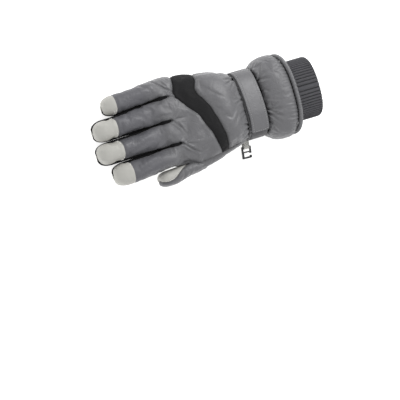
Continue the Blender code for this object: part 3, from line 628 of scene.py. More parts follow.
trial_fold = crease(np.array(((5.0, 0.0, 0.0), (5.0, 2.0, 0.0))), (0, 0), (10, 0), 1.0, 1.0)
print("a fold 1 mm deep and wide lifts its middle and its ridge by", trial_fold.round(2), "mm")


# %% [markdown]
# ## Cloth simulation
# Padding presses the nylon outwards while the seams hold its edges, and the nylon is cut a little larger
# than the padding, so it buckles into soft folds. Blender's cloth does that: the edges are pinned, the cloth
# is told to grow by a few per cent, and pressure pushes it out. Noise alone could roughen the surface, but
# its bumps would not know where the seams are. How far a point may travel is capped, so that the glove
# keeps its size.

# %% Cloth simulation
def object_of(name, bm):
    mesh = bpy.data.meshes.new(name)
    bm.to_mesh(mesh)
    bm.free()
    made = bpy.data.objects.new(name, mesh)
    bpy.context.scene.collection.objects.link(made)
    return made


def evaluated_mesh(obj):
    graph = bpy.context.evaluated_depsgraph_get()
    return bpy.data.meshes.new_from_object(obj.evaluated_get(graph), depsgraph=graph)


def buckle(bm, grow=0.04, pressure=2.5, cap=2.4, frames=20, pinned=0.3, bending=0.5):
    """Runs the cloth on a copy and brings each vertex's travel back, softened towards the cap."""
    points = read_points(bm)
    far, _ = seam_reach(bm)
    trial = bm.copy()
    write_points(trial, points * MM)
    obj = object_of("trial", trial)
    pins = obj.vertex_groups.new(name="sewn")
    for i, distance in enumerate(far):
        weight = 1.0 if distance < pinned else 0.35 * math.exp(-distance / 2.5)
        pins.add([i], weight, "REPLACE")
    cloth = obj.modifiers.new("cloth", "CLOTH")
    settings = cloth.settings
    settings.quality = 6
    settings.mass = 0.2
    settings.tension_stiffness = 15
    settings.compression_stiffness = 15
    settings.shear_stiffness = 5
    settings.bending_stiffness = bending
    settings.air_damping = 4
    settings.vertex_group_mass = "sewn"
    settings.use_pressure = True
    settings.uniform_pressure_force = pressure
    settings.shrink_min = -grow
    settings.effector_weights.gravity = 0
    cloth.collision_settings.use_collision = False
    cloth.point_cache.frame_end = frames
    for step in range(1, frames + 1):
        bpy.context.scene.frame_set(step)
    mesh = evaluated_mesh(obj)
    moved = np.array([v.co for v in mesh.vertices]) / MM - points
    bpy.data.objects.remove(obj)
    bpy.data.meshes.remove(mesh)
    bpy.context.scene.frame_set(1)
    length = np.maximum(np.linalg.norm(moved, axis=1), 1e-6)
    kept = cap * np.tanh(length / cap) / length
    write_points(bm, points + moved * kept[:, None])
    print(f"  cloth travelled up to {length.max():.2f} mm, {np.median(length):.2f} mm in the middle")


print("cloth simulation is", "on")


# %% [markdown]
# ## Finishing a cloth
# One subdivision smooths the simulated cloth. A cloth cut in one piece can cover several moving bodies, so
# it is then parted into one object for each body. Separate sheets laid edge to edge would show a line
# there, so both sides of a parting keep the whole cloth's normals. Last, each object gets the fabric's own
# thickness, made with the solidify operator and not a modifier, so that the normals can be kept.

# %% Finishing
PIECES = {}
CLOTH_THICKNESS = 0.7
FLOOR_LEVEL = 0.1


def smooth_once(bm, levels=1):
    obj = object_of("smoothing", bm)
    rounded = obj.modifiers.new("rounded", "SUBSURF")
    rounded.levels = levels
    rounded.render_levels = levels
    mesh = evaluated_mesh(obj)
    bpy.data.objects.remove(obj)
    made = bmesh.new()
    made.from_mesh(mesh)
    bpy.data.meshes.remove(mesh)
    return made


def rest_on_floor(bm):
    """Whatever would sink into the floor lies flat on it instead."""
    points = read_points(bm)
    points[:, 2] = np.maximum(points[:, 2], FLOOR_LEVEL)
    write_points(bm, points)
    bm.normal_update()


def part_cloth(bm, names, thickness=CLOTH_THICKNESS, walls=True):
    """One object for each sheet number in names, with the whole cloth's normals on its outer face."""
    rest_on_floor(bm)
    whole = {tuple(np.round(v.co, 4)): v.normal.copy() for v in bm.verts}
    # The edge attribute is 1 at a sewn edge and fades within about 2 mm; the fabrics use it to darken the
    # colour, as painted shade in the seams.
    far, _ = seam_reach(bm)
    edge = bm.verts.layers.float.new("edge")
    for vertex, distance in zip(bm.verts, far):
        vertex[edge] = math.exp(-(distance / 1.8) ** 2)
    made = []
    for sheet, name in names.items():
        part = bm.copy()
        other = [f for f in part.faces if f.material_index != sheet]
        bmesh.ops.delete(part, geom=other, context="FACES")
        for face in part.faces:
            face.material_index = 0
        if walls:
            bmesh.ops.solidify(part, geom=part.faces[:], thickness=thickness)
        kept = [whole.get(tuple(np.round(v.co, 4)), Vector((0, 0, 0))) for v in part.verts]
        write_points(part, to_frame(read_points(part)))
        obj = object_of(name, part)
        if len(names) > 1:
            obj.data.normals_split_custom_set_from_vertices([tuple(n) for n in kept])
        PIECES[name] = obj
        made.append(obj)
    bm.free()
    return made


def report(obj):
    triangles = sum(len(p.vertices) - 2 for p in obj.data.polygons)
    print(f"  {obj.name}: {triangles} triangles, {[round(v / MM, 1) for v in obj.dimensions]} mm")
    return obj


print("cloth is", CLOTH_THICKNESS, "mm thick and lies at", FLOOR_LEVEL, "mm or higher")


# %% [markdown]
# ## Shared effects for the fabrics
# Four effects turn up in more than one fabric, so each is a node group with its own inputs: the crossing
# threads of a weave, the small creases of handled cloth, the grain of leather, and uneven colour with painted
# shade in the seams. Each reads the cloth's own map or the object's own coordinates, so nothing slides when a
# body moves.
# The groups put out only heights and colours; the shader itself stays in each fabric.

# %% Shared effects
def new_group(name, inputs, outputs):
    group = bpy.data.node_groups.new(name, "ShaderNodeTree")
    for label, kind, value in inputs:
        socket = group.interface.new_socket(name=label, in_out="INPUT", socket_type=kind)
        if value is not None:
            socket.default_value = value
    for label, kind in outputs:
        group.interface.new_socket(name=label, in_out="OUTPUT", socket_type=kind)
    return group, group.nodes.new("NodeGroupInput"), group.nodes.new("NodeGroupOutput")


def math_node(tree, operation, first, second=None, third=None):
    """A Math node; each input is a number or another node's output socket."""
    node = tree.nodes.new("ShaderNodeMath")
    node.operation = operation
    for socket, value in zip(node.inputs, (first, second, third)):
        if isinstance(value, bpy.types.NodeSocket):
            tree.links.new(value, socket)
        elif value is not None:
            socket.default_value = value
    return node.outputs[0]


def noise_node(tree, vector, scale, detail=2.0, roughness=0.5, distortion=0.0):
    node = tree.nodes.new("ShaderNodeTexNoise")
    node.inputs["Scale"].default_value = scale
    node.inputs["Detail"].default_value = detail
    node.inputs["Roughness"].default_value = roughness
    node.inputs["Distortion"].default_value = distortion
    tree.links.new(vector, node.inputs["Vector"])
    return node.outputs["Fac"]


def ramp_node(tree, value, low, high, first=0.0, last=1.0):
    node = tree.nodes.new("ShaderNodeMapRange")
    node.interpolation_type = "SMOOTHSTEP"
    for label, number in (("From Min", low), ("From Max", high), ("To Min", first), ("To Max", last)):
        node.inputs[label].default_value = number
    tree.links.new(value, node.inputs["Value"])
    return node.outputs["Result"]


def blend_colours(tree, share, first, second, how="MIX"):
    node = tree.nodes.new("ShaderNodeMix")
    node.data_type = "RGBA"
    node.blend_type = how
    for socket, value in ((node.inputs[0], share), (node.inputs[6], first), (node.inputs[7], second)):
        if isinstance(value, bpy.types.NodeSocket):
            tree.links.new(value, socket)
        else:
            socket.default_value = value
    return node.outputs[2]


def make_weave_group():
    """Crossing threads: height is high where a thread of either direction comes to the top."""
    group, given, out = new_group("crossing_threads", [("Cloth", "NodeSocketVector", None),
                                                       ("Pitch", "NodeSocketFloat", 0.0006)],
                                  [("Height", "NodeSocketFloat")])
    parts = group.nodes.new("ShaderNodeSeparateXYZ")
    group.links.new(given.outputs["Cloth"], parts.inputs[0])
    waves_of = []
    for axis in (0, 1):
        turns = math_node(group, "DIVIDE", parts.outputs[axis], given.outputs["Pitch"])
        waves_of.append(math_node(group, "SINE", math_node(group, "MULTIPLY", turns, math.pi)))
    crossed = math_node(group, "MULTIPLY", *waves_of)
    group.links.new(math_node(group, "MULTIPLY_ADD", crossed, 0.5, 0.5), out.inputs["Height"])
    return group


def make_crease_group():
    """Small creases of handled cloth: thin valleys between smooth patches."""
    group, given, out = new_group("handled_creases", [("Vector", "NodeSocketVector", None)],
                                  [("Height", "NodeSocketFloat"), ("Patch", "NodeSocketFloat")])
    bends = noise_node(group, given.outputs["Vector"], 95.0, detail=3.0, roughness=0.55, distortion=0.6)
    valley = math_node(group, "ABSOLUTE", math_node(group, "SUBTRACT", bends, 0.5))
    group.links.new(ramp_node(group, valley, 0.0, 0.09), out.inputs["Height"])
    group.links.new(noise_node(group, given.outputs["Vector"], 24.0, detail=3.0), out.inputs["Patch"])
    return group


def make_grain_group():
    """Leather grain: round pebbles with narrow valleys, uneven in size."""
    group, given, out = new_group("leather_grain", [("Vector", "NodeSocketVector", None),
                                                    ("Pebbles per metre", "NodeSocketFloat", 900.0)],
                                  [("Height", "NodeSocketFloat"), ("Valley", "NodeSocketFloat")])
    cells = group.nodes.new("ShaderNodeTexVoronoi")
    cells.feature = "DISTANCE_TO_EDGE"
    group.links.new(given.outputs["Vector"], cells.inputs["Vector"])
    group.links.new(given.outputs["Pebbles per metre"], cells.inputs["Scale"])
    group.links.new(ramp_node(group, cells.outputs["Distance"], 0.0, 0.22), out.inputs["Height"])
    group.links.new(ramp_node(group, cells.outputs["Distance"], 0.0, 0.08, 1.0, 0.0), out.inputs["Valley"])
    return group


def make_tone_and_shade_group():
    """Uneven dye, and painted shade in the seams' tucked grooves with some dust: the mask is 1 in a seam and 0
    a few millimetres away; on the knit cuff it marks the rib valleys.
    """
    group, given, out = new_group("uneven_colour_and_seam_shade", [("Colour", "NodeSocketColor", (0.5, 0.5, 0.5, 1)),
                                                    ("Vector", "NodeSocketVector", None),
                                                    ("Shade mask", "NodeSocketFloat", 0.0),
                                                    ("Spread", "NodeSocketFloat", 0.15),
                                                    ("Seam", "NodeSocketFloat", 0.4)],
                                  [("Colour", "NodeSocketColor"), ("Mottle", "NodeSocketFloat")])
    patches = noise_node(group, given.outputs["Vector"], 42.0, detail=4.0, roughness=0.6)
    fine = noise_node(group, given.outputs["Vector"], 420.0, detail=2.0)
    both = math_node(group, "MULTIPLY_ADD", fine, 0.35, math_node(group, "MULTIPLY", patches, 0.65))
    centred = math_node(group, "MULTIPLY", math_node(group, "SUBTRACT", both, 0.5), 2.0)
    light = math_node(group, "MULTIPLY_ADD", centred, given.outputs["Spread"], 1.0)
    # Painted shade: the colour darkens where the mask is high, in seams and in the knit's rib valleys.
    dark = math_node(group, "SUBTRACT", 1.0, math_node(group, "MULTIPLY", given.outputs["Shade mask"],
                                                       given.outputs["Seam"]))
    value = math_node(group, "MULTIPLY", light, dark)
    grey = group.nodes.new("ShaderNodeCombineColor")
    for socket in grey.inputs[:3]:
        group.links.new(value, socket)
    group.links.new(blend_colours(group, 1.0, given.outputs["Colour"], grey.outputs[0], "MULTIPLY"),
                    out.inputs["Colour"])
    group.links.new(both, out.inputs["Mottle"])
    return group


WEAVE = make_weave_group()
CREASES = make_crease_group()
GRAIN = make_grain_group()
TONE_AND_SHADE = make_tone_and_shade_group()
print("node groups:", [g.name for g in bpy.data.node_groups])


# %% [markdown]
# ## The fabrics
# Each fabric starts the same way: its colour goes through the uneven-colour effect, which also paints shade
# into the seams, and its reliefs are stacked as bumps, the coarse one first. An image of cloth could stand for
# all this, but it would blur close up and stretch over the folds, so every pattern is worked out from the
# cloth's own millimetres.

# %% What every fabric starts with
MATERIALS = {}


def keep_finish(finish, made):
    MATERIALS[finish] = made
    print(f"  {made.name}: {len(made.node_tree.nodes)} nodes")


# seam is how strongly painted shade darkens the colour in the seams.
def start_material(name, colour, roughness, spread=0.12, seam=0.35, sheen=0.0, specular=0.5):
    made = bpy.data.materials.new(name)
    made.use_nodes = True
    tree = made.node_tree
    shader = tree.nodes["Principled BSDF"]
    shader.inputs["Roughness"].default_value = roughness
    shader.inputs["Specular IOR Level"].default_value = specular
    shader.inputs["Sheen Weight"].default_value = sheen
    shader.inputs["Sheen Roughness"].default_value = 0.4
    place = tree.nodes.new("ShaderNodeTexCoord")
    edge = tree.nodes.new("ShaderNodeAttribute")
    edge.attribute_name = "edge"
    tone_and_shade = tree.nodes.new("ShaderNodeGroup")
    tone_and_shade.node_tree = TONE_AND_SHADE
    tone_and_shade.inputs["Colour"].default_value = (*colour, 1)
    tone_and_shade.inputs["Spread"].default_value = spread
    tone_and_shade.inputs["Seam"].default_value = seam
    tree.links.new(place.outputs["Object"], tone_and_shade.inputs["Vector"])
    tree.links.new(edge.outputs["Fac"], tone_and_shade.inputs["Shade mask"])
    tree.links.new(tone_and_shade.outputs["Colour"], shader.inputs["Base Color"])
    return made, tree, shader, place, tone_and_shade


def add_group(tree, group, **links):
    node = tree.nodes.new("ShaderNodeGroup")
    node.node_tree = group
    for label, value in links.items():
        socket = node.inputs[label.replace("_", " ")]
        if isinstance(value, bpy.types.NodeSocket):
            tree.links.new(value, socket)
        else:
            socket.default_value = value
    return node


def add_bump(tree, shader, height, distance, strength=1.0):
    """Stacks one more relief onto the shader's normal; distance is its depth in metres."""
    bump = tree.nodes.new("ShaderNodeBump")
    bump.inputs["Strength"].default_value = strength
    bump.inputs["Distance"].default_value = distance
    tree.links.new(height, bump.inputs["Height"])
    earlier = shader.inputs["Normal"].links
    if earlier:
        tree.links.new(earlier[0].from_socket, bump.inputs["Normal"])
    tree.links.new(bump.outputs["Normal"], shader.inputs["Normal"])


def vary_roughness(tree, shader, mask, low, high):
    tree.links.new(ramp_node(tree, mask, 0.3, 0.7, low, high), shader.inputs["Roughness"])


print("each fabric starts from", TONE_AND_SHADE.name)


# %% [markdown]
# ## Satin nylon
# The shell is a light, tightly woven nylon with a broad soft shine. Its threads are finer than half a
# millimetre, so they could be left out from far away, but close up they are what tells cloth from plastic.
# The shine is uneven where the cloth has been handled, so the creases' patches drive the roughness. On the
# fingers and the thumb the nylon is painted a little darker towards the tips: painted shade, as they slope
# down away from the light.

# %% Satin nylon
NYLON_GREY = (0.14, 0.14, 0.147)
THREAD_PITCH = 0.00045
THREAD_DEPTH = 0.00004


def make_nylon(name, colour, roughness=0.46, crease=0.0003, sheen=0.1, fade=None):
    """fade paints shade towards the tips: (y where it starts, y where it ends, share of the colour left), in
    the object's metres.
    """
    made, tree, shader, place, tone_and_shade = start_material(name, colour, roughness, 0.1, 0.4, sheen)
    if fade:
        parts = tree.nodes.new("ShaderNodeSeparateXYZ")
        tree.links.new(place.outputs["Object"], parts.inputs[0])
        share = ramp_node(tree, parts.outputs["Y"], fade[0], fade[1])
        shaded_colour = tuple(c * fade[2] for c in colour[:2]) + (colour[2] * (fade[2] + 0.04), 1)
        tree.links.new(blend_colours(tree, share, (*colour, 1), shaded_colour), tone_and_shade.inputs["Colour"])
    creases = add_group(tree, CREASES, Vector=place.outputs["Object"])
    add_bump(tree, shader, creases.outputs["Height"], crease, 0.5)
    weave = add_group(tree, WEAVE, Cloth=place.outputs["UV"], Pitch=THREAD_PITCH)
    add_bump(tree, shader, weave.outputs["Height"], THREAD_DEPTH, 0.5)
    vary_roughness(tree, shader, creases.outputs["Patch"], roughness - 0.06, roughness + 0.08)
    return made


keep_finish("shell_nylon", make_nylon("satin_nylon", NYLON_GREY))
# Painted shade: this copy of the nylon darkens towards the fingertips.
keep_finish("finger_nylon_shaded_tips", make_nylon("finger_nylon_shaded_tips", NYLON_GREY, fade=(0.045, 0.085, 0.8)))
keep_finish("binding", make_nylon("binding_nylon", NYLON_GREY, 0.42, 0.0002))


# %% [markdown]
# ## Pale leather
# The caps, the palm and the inside of the thumb are a pale, fine-grained leather that is smoother than it
# looks. A noise texture would give soft lumps, and real grain is cells with narrow valleys, so the grain
# comes from the distance to a Voronoi cell's edge, with the handled creases below it.

# %% Pale leather
def make_leather(name, colour, roughness=0.55):
    made, tree, shader, place, tone_and_shade = start_material(name, colour, roughness, 0.08, 0.3)
    grain = add_group(tree, GRAIN, Vector=place.outputs["Object"], Pebbles_per_metre=850.0)
    creases = add_group(tree, CREASES, Vector=place.outputs["Object"])
    add_bump(tree, shader, creases.outputs["Height"], 0.00025, 0.35)
    add_bump(tree, shader, grain.outputs["Height"], 0.00008, 0.6)
    vary_roughness(tree, shader, creases.outputs["Patch"], roughness - 0.08, roughness + 0.1)
    return made


keep_finish("pale_leather", make_leather("pale_leather", (0.46, 0.455, 0.425)))


# %% [markdown]
# ## Coarser weaves
# The dark stripe, the knit between the fingers, the webbing and the sewing thread all show their threads.
# Each could have a texture of its own. One maker with a pitch and a depth serves them all, because they
# differ only in how coarse, how dark and how rough they are.

# %% Coarser weaves
def make_woven(name, colour, pitch, depth, roughness=0.85, spread=0.12, sheen=0.0):
    """Threads that can be made out: painted shade darkens the weave's downs, so its ups are lighter."""
    made, tree, shader, place, tone_and_shade = start_material(name, colour, roughness, spread, 0.3, sheen, 0.3)
    weave = add_group(tree, WEAVE, Cloth=place.outputs["UV"], Pitch=pitch)
    dark = ramp_node(tree, weave.outputs["Height"], 0.15, 0.75, 0.62, 1.15)
    shade = tree.nodes.new("ShaderNodeCombineColor")
    for socket in shade.inputs[:3]:
        tree.links.new(dark, socket)
    mixed = blend_colours(tree, 1.0, tone_and_shade.outputs["Colour"], shade.outputs[0], "MULTIPLY")
    tree.links.new(mixed, shader.inputs["Base Color"])
    add_bump(tree, shader, weave.outputs["Height"], depth, 0.8)
    return made


keep_finish("stripe_softshell", make_woven("softshell", (0.011, 0.011, 0.012), 0.0009, 0.00012,
                                           roughness=0.8, spread=0.15, sheen=0.05))
keep_finish("side_knit", make_woven("side_knit", (0.007, 0.007, 0.008), 0.0011, 0.0002, 0.95))
keep_finish("webbing", make_woven("pale_webbing", (0.6, 0.6, 0.57), 0.0017, 0.0004, 0.7))
keep_finish("light_thread", make_woven("light_thread", (0.9, 0.89, 0.86), 0.0006, 0.0001, 0.7))
keep_finish("grey_thread", make_woven("grey_thread", (0.36, 0.36, 0.36), 0.0006, 0.0001, 0.6))


# %% [markdown]
# ## Fleece and fastener tape
# A nap of fine fibres scatters almost all the light. Hair particles could be grown on it, but the fleece is
# only seen through the opening, so a fine noise for the nap and a rough surface with sheen are enough.

# %% Fleece and fastener tape
def make_pile(name, colour, scale, depth, roughness=0.95, sheen=0.25):
    made, tree, shader, place, tone_and_shade = start_material(name, colour, roughness, 0.2, 0.3, sheen, 0.2)
    nap = noise_node(tree, place.outputs["Object"], scale, detail=4.0, roughness=0.7)
    add_bump(tree, shader, nap, depth, 0.9)
    return made


keep_finish("loop_pile", make_pile("loop_pile", (0.12, 0.12, 0.125), 1400.0, 0.0005))
keep_finish("fleece", make_pile("fleece", (0.06, 0.06, 0.065), 900.0, 0.0006))
keep_finish("fastener_tape", make_pile("fastener_tape", (0.03, 0.03, 0.032), 1400.0, 0.0005))


# %% [markdown]
# ## Rib knit
# The inner cuff is knitted in ribs. The ribs are wide enough to be made in the mesh, and what is left for
# the material is the rows of slanted loops on them, which two sines of the cloth's own millimetres draw as
# bumps and as painted shade between the loops.

# %% Rib knit
def make_knit(name, colour, pitch=0.0016):
    # The 0.85 paints shade into the rib valleys that the edge attribute marks.
    made, tree, shader, place, tone_and_shade = start_material(name, colour, 0.88, 0.18, 0.85, 0.2, 0.25)
    parts = tree.nodes.new("ShaderNodeSeparateXYZ")
    tree.links.new(place.outputs["UV"], parts.inputs[0])
    across = math_node(tree, "ABSOLUTE", math_node(tree, "SINE", math_node(
        tree, "MULTIPLY", parts.outputs[0], math.pi / pitch)))
    slanted = math_node(tree, "MULTIPLY_ADD", across, pitch * 0.5, parts.outputs[1])
    rows = math_node(tree, "SINE", math_node(tree, "MULTIPLY", slanted, 2 * math.pi / pitch))
    loops = math_node(tree, "MULTIPLY_ADD", rows, 0.5, math_node(tree, "MULTIPLY", across, 0.6))
    # Painted shade: the loops' colour follows their height, darker between the loops.
    shade = ramp_node(tree, loops, -0.3, 0.8, 0.6, 1.2)
    grey = tree.nodes.new("ShaderNodeCombineColor")
    for socket in grey.inputs[:3]:
        tree.links.new(shade, socket)
    tree.links.new(blend_colours(tree, 1.0, tone_and_shade.outputs["Colour"], grey.outputs[0], "MULTIPLY"),
                   shader.inputs["Base Color"])
    add_bump(tree, shader, loops, 0.0004, 0.8)
    return made


keep_finish("rib_knit", make_knit("rib_knit", (0.085, 0.085, 0.093)))


# %% [markdown]
# ## Clip plastic and grip print
# The clip is glossy moulded plastic: a low roughness with a coat would be perfect and look new, so faint
# marks from handling roughen its shine. The grip patch on the palm is a cloth with small rubber dots
# printed on it. The dots are shinier than the cloth round them, so they also drive its roughness.

# %% Clip plastic and grip print
def make_plastic(name, colour):
    made, tree, shader, place, tone_and_shade = start_material(name, colour, 0.22, 0.1, 0.0)
    shader.inputs["Coat Weight"].default_value = 0.4
    shader.inputs["Coat Roughness"].default_value = 0.12
    marks = noise_node(tree, place.outputs["Object"], 900.0, detail=3.0)
    vary_roughness(tree, shader, marks, 0.16, 0.32)
    add_bump(tree, shader, marks, 0.00002, 0.4)
    return made


def make_rubber(name, colour):
    made, tree, shader, place, tone_and_shade = start_material(name, colour, 0.7, 0.12, 0.3)
    dots = tree.nodes.new("ShaderNodeTexVoronoi")
    dots.inputs["Scale"].default_value = 380.0
    dots.inputs["Randomness"].default_value = 0.0
    tree.links.new(place.outputs["UV"], dots.inputs["Vector"])
    raised = ramp_node(tree, dots.outputs["Distance"], 0.25, 0.38, 1.0, 0.0)
    add_bump(tree, shader, raised, 0.0004, 1.0)
    tree.links.new(ramp_node(tree, raised, 0.0, 1.0, 0.85, 0.4), shader.inputs["Roughness"])
    return made


keep_finish("clip_plastic", make_plastic("clip_plastic", (0.014, 0.014, 0.015)))
keep_finish("grip_rubber", make_rubber("grip_print", (0.035, 0.035, 0.037)))
print(len(MATERIALS), "fabrics and finishes")


# %% [markdown]
# ## The back of the hand and of the fingers
# On the real glove the back of the hand runs on into the back of each finger in one piece of nylon, and the
# slits between the fingers are cut into it. A single grid could not fork into four fingers, so the front of
# the hand, the fingers and the side under the thumb are laid as separate grids whose edges meet, and joined.
# The rows of a finger are spaced along its skin, not along its length, so that they don't thin out where
# the tip rounds over.

# %% Columns and rows of a finger
ROW = 2.0
STRIPE_FRONT = ((62, 103), (51, 108), (39.5, 112.5), (34, 110.5), (18, 100), (3, 89), (-20, 80), (-47, 67))
STRIPE_REAR = ((62, 76), (48, 81), (38, 86), (30, 84.5), (14, 76), (-6, 69.5), (-28, 63.5), (-47, 58.5))
SIDE_SEAM = 162
TIP_DROPS = {"little": (34, 30), "ring": (14, 34), "middle": (34, 20), "index": (34, 34)}
TIP_DROP_START = 24
TIP_DROP_RUN = 18


def finger_angles(name):
    """The angles of a finger's back columns, about 1.7 mm apart."""
    left, right = FINGERS[name]["sides"]
    first, last = back_corners(name)
    if right == "little_side":
        return np.concatenate([np.linspace(first, SIDE_CORNER, 13)[:-1], np.linspace(SIDE_CORNER, last, 13)])
    if left == "thumb_side":
        seam = np.interp(SIDE_SEAM, (180 - SIDE_ANGLE, 180 + SIDE_ANGLE), (180 - SIDE_CORNER, last))
        return np.concatenate([np.linspace(first, seam, 17)[:-1], np.linspace(seam, last, 10)])
    return np.linspace(first, last, 17)


def above_hand(name, angles):
    """The hand's own angle at each column of a finger's root."""
    left, right = FINGERS[name]["sides"]
    turned = hand_angle(root_point(name, angles, 0.0)[..., 0], CROTCH_MIDDLE_Y)
    if left == "thumb_side":
        side = np.interp(angles, (180 - SIDE_CORNER, 180 + SIDE_CORNER), (180 - SIDE_ANGLE, 180 + SIDE_ANGLE))
        turned = np.where(angles > 180 - SIDE_CORNER, side, turned)
    if right == "little_side":
        side = np.interp(angles, (-SIDE_CORNER, SIDE_CORNER), (-SIDE_ANGLE, SIDE_ANGLE))
        turned = np.where(angles < SIDE_CORNER, side, turned)
    return turned


def run_to_tip(distance):
    """The length of skin left to the tip, for a distance from the tip along the finger."""
    inside = np.arccos(clamp(1 - distance / FINGER_DOME))
    return np.where(distance > FINGER_DOME, distance + FINGER_DOME * (np.pi / 2 - 1), FINGER_DOME * inside)


def distance_to_tip(run):
    straight = run - FINGER_DOME * (np.pi / 2 - 1)
    return np.where(run > FINGER_DOME * np.pi / 2, straight, FINGER_DOME * (1 - np.cos(run / FINGER_DOME)))


def finger_rows(name):
    """How many rows a finger has from its root to its cap, and from there to the tip."""
    finger = FINGERS[name]
    cap = float(run_to_tip(finger["cap"]))
    return round((float(run_to_tip(finger["length"])) - cap) / ROW), round(cap / ROW)


def lowered_seams(name, angle, to_tip):
    """Towards the tip the corner seams run down, so that the cap covers the end of the finger."""
    outward, thumbward = TIP_DROPS[name]
    turned = (angle + 90) % 360 - 90
    stations = np.array((-90, -PALM_CORNER, SEAM_CORNER, 180 - SEAM_CORNER, 180 + PALM_CORNER, 270))
    moved = stations + np.array((0, -outward / 4, -outward, thumbward, thumbward / 4, 0))
    share = ease((TIP_DROP_START - to_tip) / TIP_DROP_RUN)
    return angle + share * (np.interp(turned, stations, moved) - turned)


def finger_skin(name, angles, inset=0.0):
    """A skin for lay_sheet: u picks from the angles, v runs from the root past the cap's seam to the tip."""
    finger = FINGERS[name]
    before, after = finger_rows(name)
    seam = before / (before + after)
    index = np.arange(len(angles))
    insets = np.broadcast_to(inset, len(angles))

    def skin(u, v):
        angle = np.interp(u * index[-1], index, angles)
        root_y = finger_root_y(name, angle)
        tip_y = CROTCH_MIDDLE_Y + finger["length"]
        cap = run_to_tip(finger["cap"])
        run = np.where(v < seam, mix(run_to_tip(tip_y - root_y), cap, v / seam),
                       mix(cap, 0.0, clamp((v - seam) / (1 - seam))))
        y = tip_y - distance_to_tip(run)
        s = (y - root_y) / (tip_y - root_y)
        depth = np.interp(u * index[-1], index, insets)
        depth = depth * np.minimum(ease((y - root_y) / 4 + 0.3), dome(tip_y - y, 10))
        return finger_point(name, lowered_seams(name, angle, tip_y - y), clamp(s), depth)
    return skin, before, after


for name in FINGERS:
    print(f"  {name} finger: {len(finger_angles(name))} columns, rows to cap and tip", finger_rows(name))


# %% [markdown]
# ## The cloth of the back
# The panels and the pale caps are sewn, buckled and smoothed as one cloth, so that the seam at each cap is a
# dip in one smooth finger. Where the slits end, the nylon is pulled together, and folds run from there back
# over the hand and across the fingers' roots. The cloth simulation gives soft folds in places of its own,
# so these few, which belong to the cut of the glove, are laid in before it runs.

# %% The outline of the back cloth
def back_columns():
    """Every column of the hand's front panel, from the little finger's side to the thumb's: angle and end."""
    angles, ends = [], []
    for name in FINGERS:
        columns = finger_angles(name)
        angles.append(above_hand(name, columns))
        ends.append(finger_root_y(name, columns))
        slit = FINGERS[name]["sides"][0]
        if slit != "thumb_side":
            x = CROTCH_X[slit] + np.array((0.35, -0.35)) * SLIT_AT_ROOT / 2
            angles.append(hand_angle(x, CROTCH_MIDDLE_Y))
            ends.append(np.full(2, CROTCH_Y[slit]))
    return np.concatenate(angles), np.concatenate(ends)


def between_lines(angles, first, last):
    """A skin over the hand from one line to another; first and last are arrays, one value a column."""
    index = np.arange(len(angles))

    def skin(u, v):
        spot = u * (len(angles) - 1)
        low, high = np.interp(spot, index, first), np.interp(spot, index, last)
        return hand_point(np.interp(spot, index, angles), mix(low, high, v))
    return skin


back_angles, back_ends = back_columns()
print("the front of the hand has", len(back_angles), "columns, to y", back_ends.min(), "to", back_ends.max())


# %% The back cloth
BACK_FOLDS = (
    ((8, 125), (-6, 113), 1.2, 1.9), ((4, 118), (-11, 112), 1.1, 1.4),
    ((8, 125), (20, 112), 1.2, 1.2), ((8, 124), (7, 104), 1.3, 1.0),
    ((-22.5, 119), (-38, 102), 1.2, 1.8), ((-32, 108), (-41, 97), 1.1, 1.4),
    ((-22.5, 119), (-17, 101), 1.3, 1.3), ((-22.5, 119), (-28, 99), 1.3, 1.0),
    ((38, 121), (43, 111), 1.2, 1.6), ((37, 119), (32, 106), 1.2, 1.5),
    ((38, 121), (30, 112), 1.2, 1.0), ((58, 131), (43, 114), 1.2, 1.8),
    ((56, 122), (50, 117), 1.1, 1.2), ((60, 152), (49, 138), 1.6, 0.9),
    ((31, 174), (19, 156), 1.8, 0.9), ((36, 160), (26, 144), 1.8, 0.8),
    ((16, 142), (15, 122), 1.8, 0.8), ((-49, 156), (-57, 139), 1.3, 1.3),
    ((-48, 165), (-51, 148), 1.3, 1.0), ((-41, 180), (-33, 150), 2.2, 0.8),
    ((-13, 178), (-5, 150), 2.2, 0.8), ((-16, 150), (-7, 134), 1.8, 0.8),
    ((-44, 106), (-48, 84), 1.2, 1.6), ((-50, 96), (-56, 90), 1.1, 1.2),
    ((-49, 88), (-55, 82), 1.1, 1.2),
)
FRONT_ROWS = 26
SIDE_ROWS = 50
FIRST_FINGER_SHEET = 2
FIRST_CAP_SHEET = 6
CAP_GROOVE = 1.0
CAP_RIDGE = 0.35


def make_back_cloth(angles, ends):
    front = angles <= SIDE_SEAM + 0.01
    side = angles >= SIDE_SEAM - 0.01
    stripe = hand_line(STRIPE_FRONT)(angles)
    wrist = np.full(side.sum(), BAND_LENGTH + 0.0)
    front_skin = between_lines(angles[front], stripe[front], ends[front])
    side_skin = between_lines(angles[side], wrist, ends[side])
    sheets = [lay_sheet(front.sum() - 1, FRONT_ROWS, front_skin, sheet=0),
              lay_sheet(side.sum() - 1, SIDE_ROWS, side_skin, sheet=1)]
    for number, name in enumerate(FINGERS):
        columns = finger_angles(name)
        skin, before, after = finger_skin(name, columns)
        finger = lay_sheet(len(columns) - 1, before + after, skin, sheet=FIRST_FINGER_SHEET + number)
        cap_y = CROTCH_MIDDLE_Y + FINGERS[name]["length"] - FINGERS[name]["cap"]
        for face in finger.faces:
            if face.calc_center_median().y > cap_y:
                face.material_index = FIRST_CAP_SHEET + number
        sheets.append(finger)
    bm = join_sheets(sheets)
    face_outwards(bm, lambda p: Vector((0, 0, 1)))
    return bm


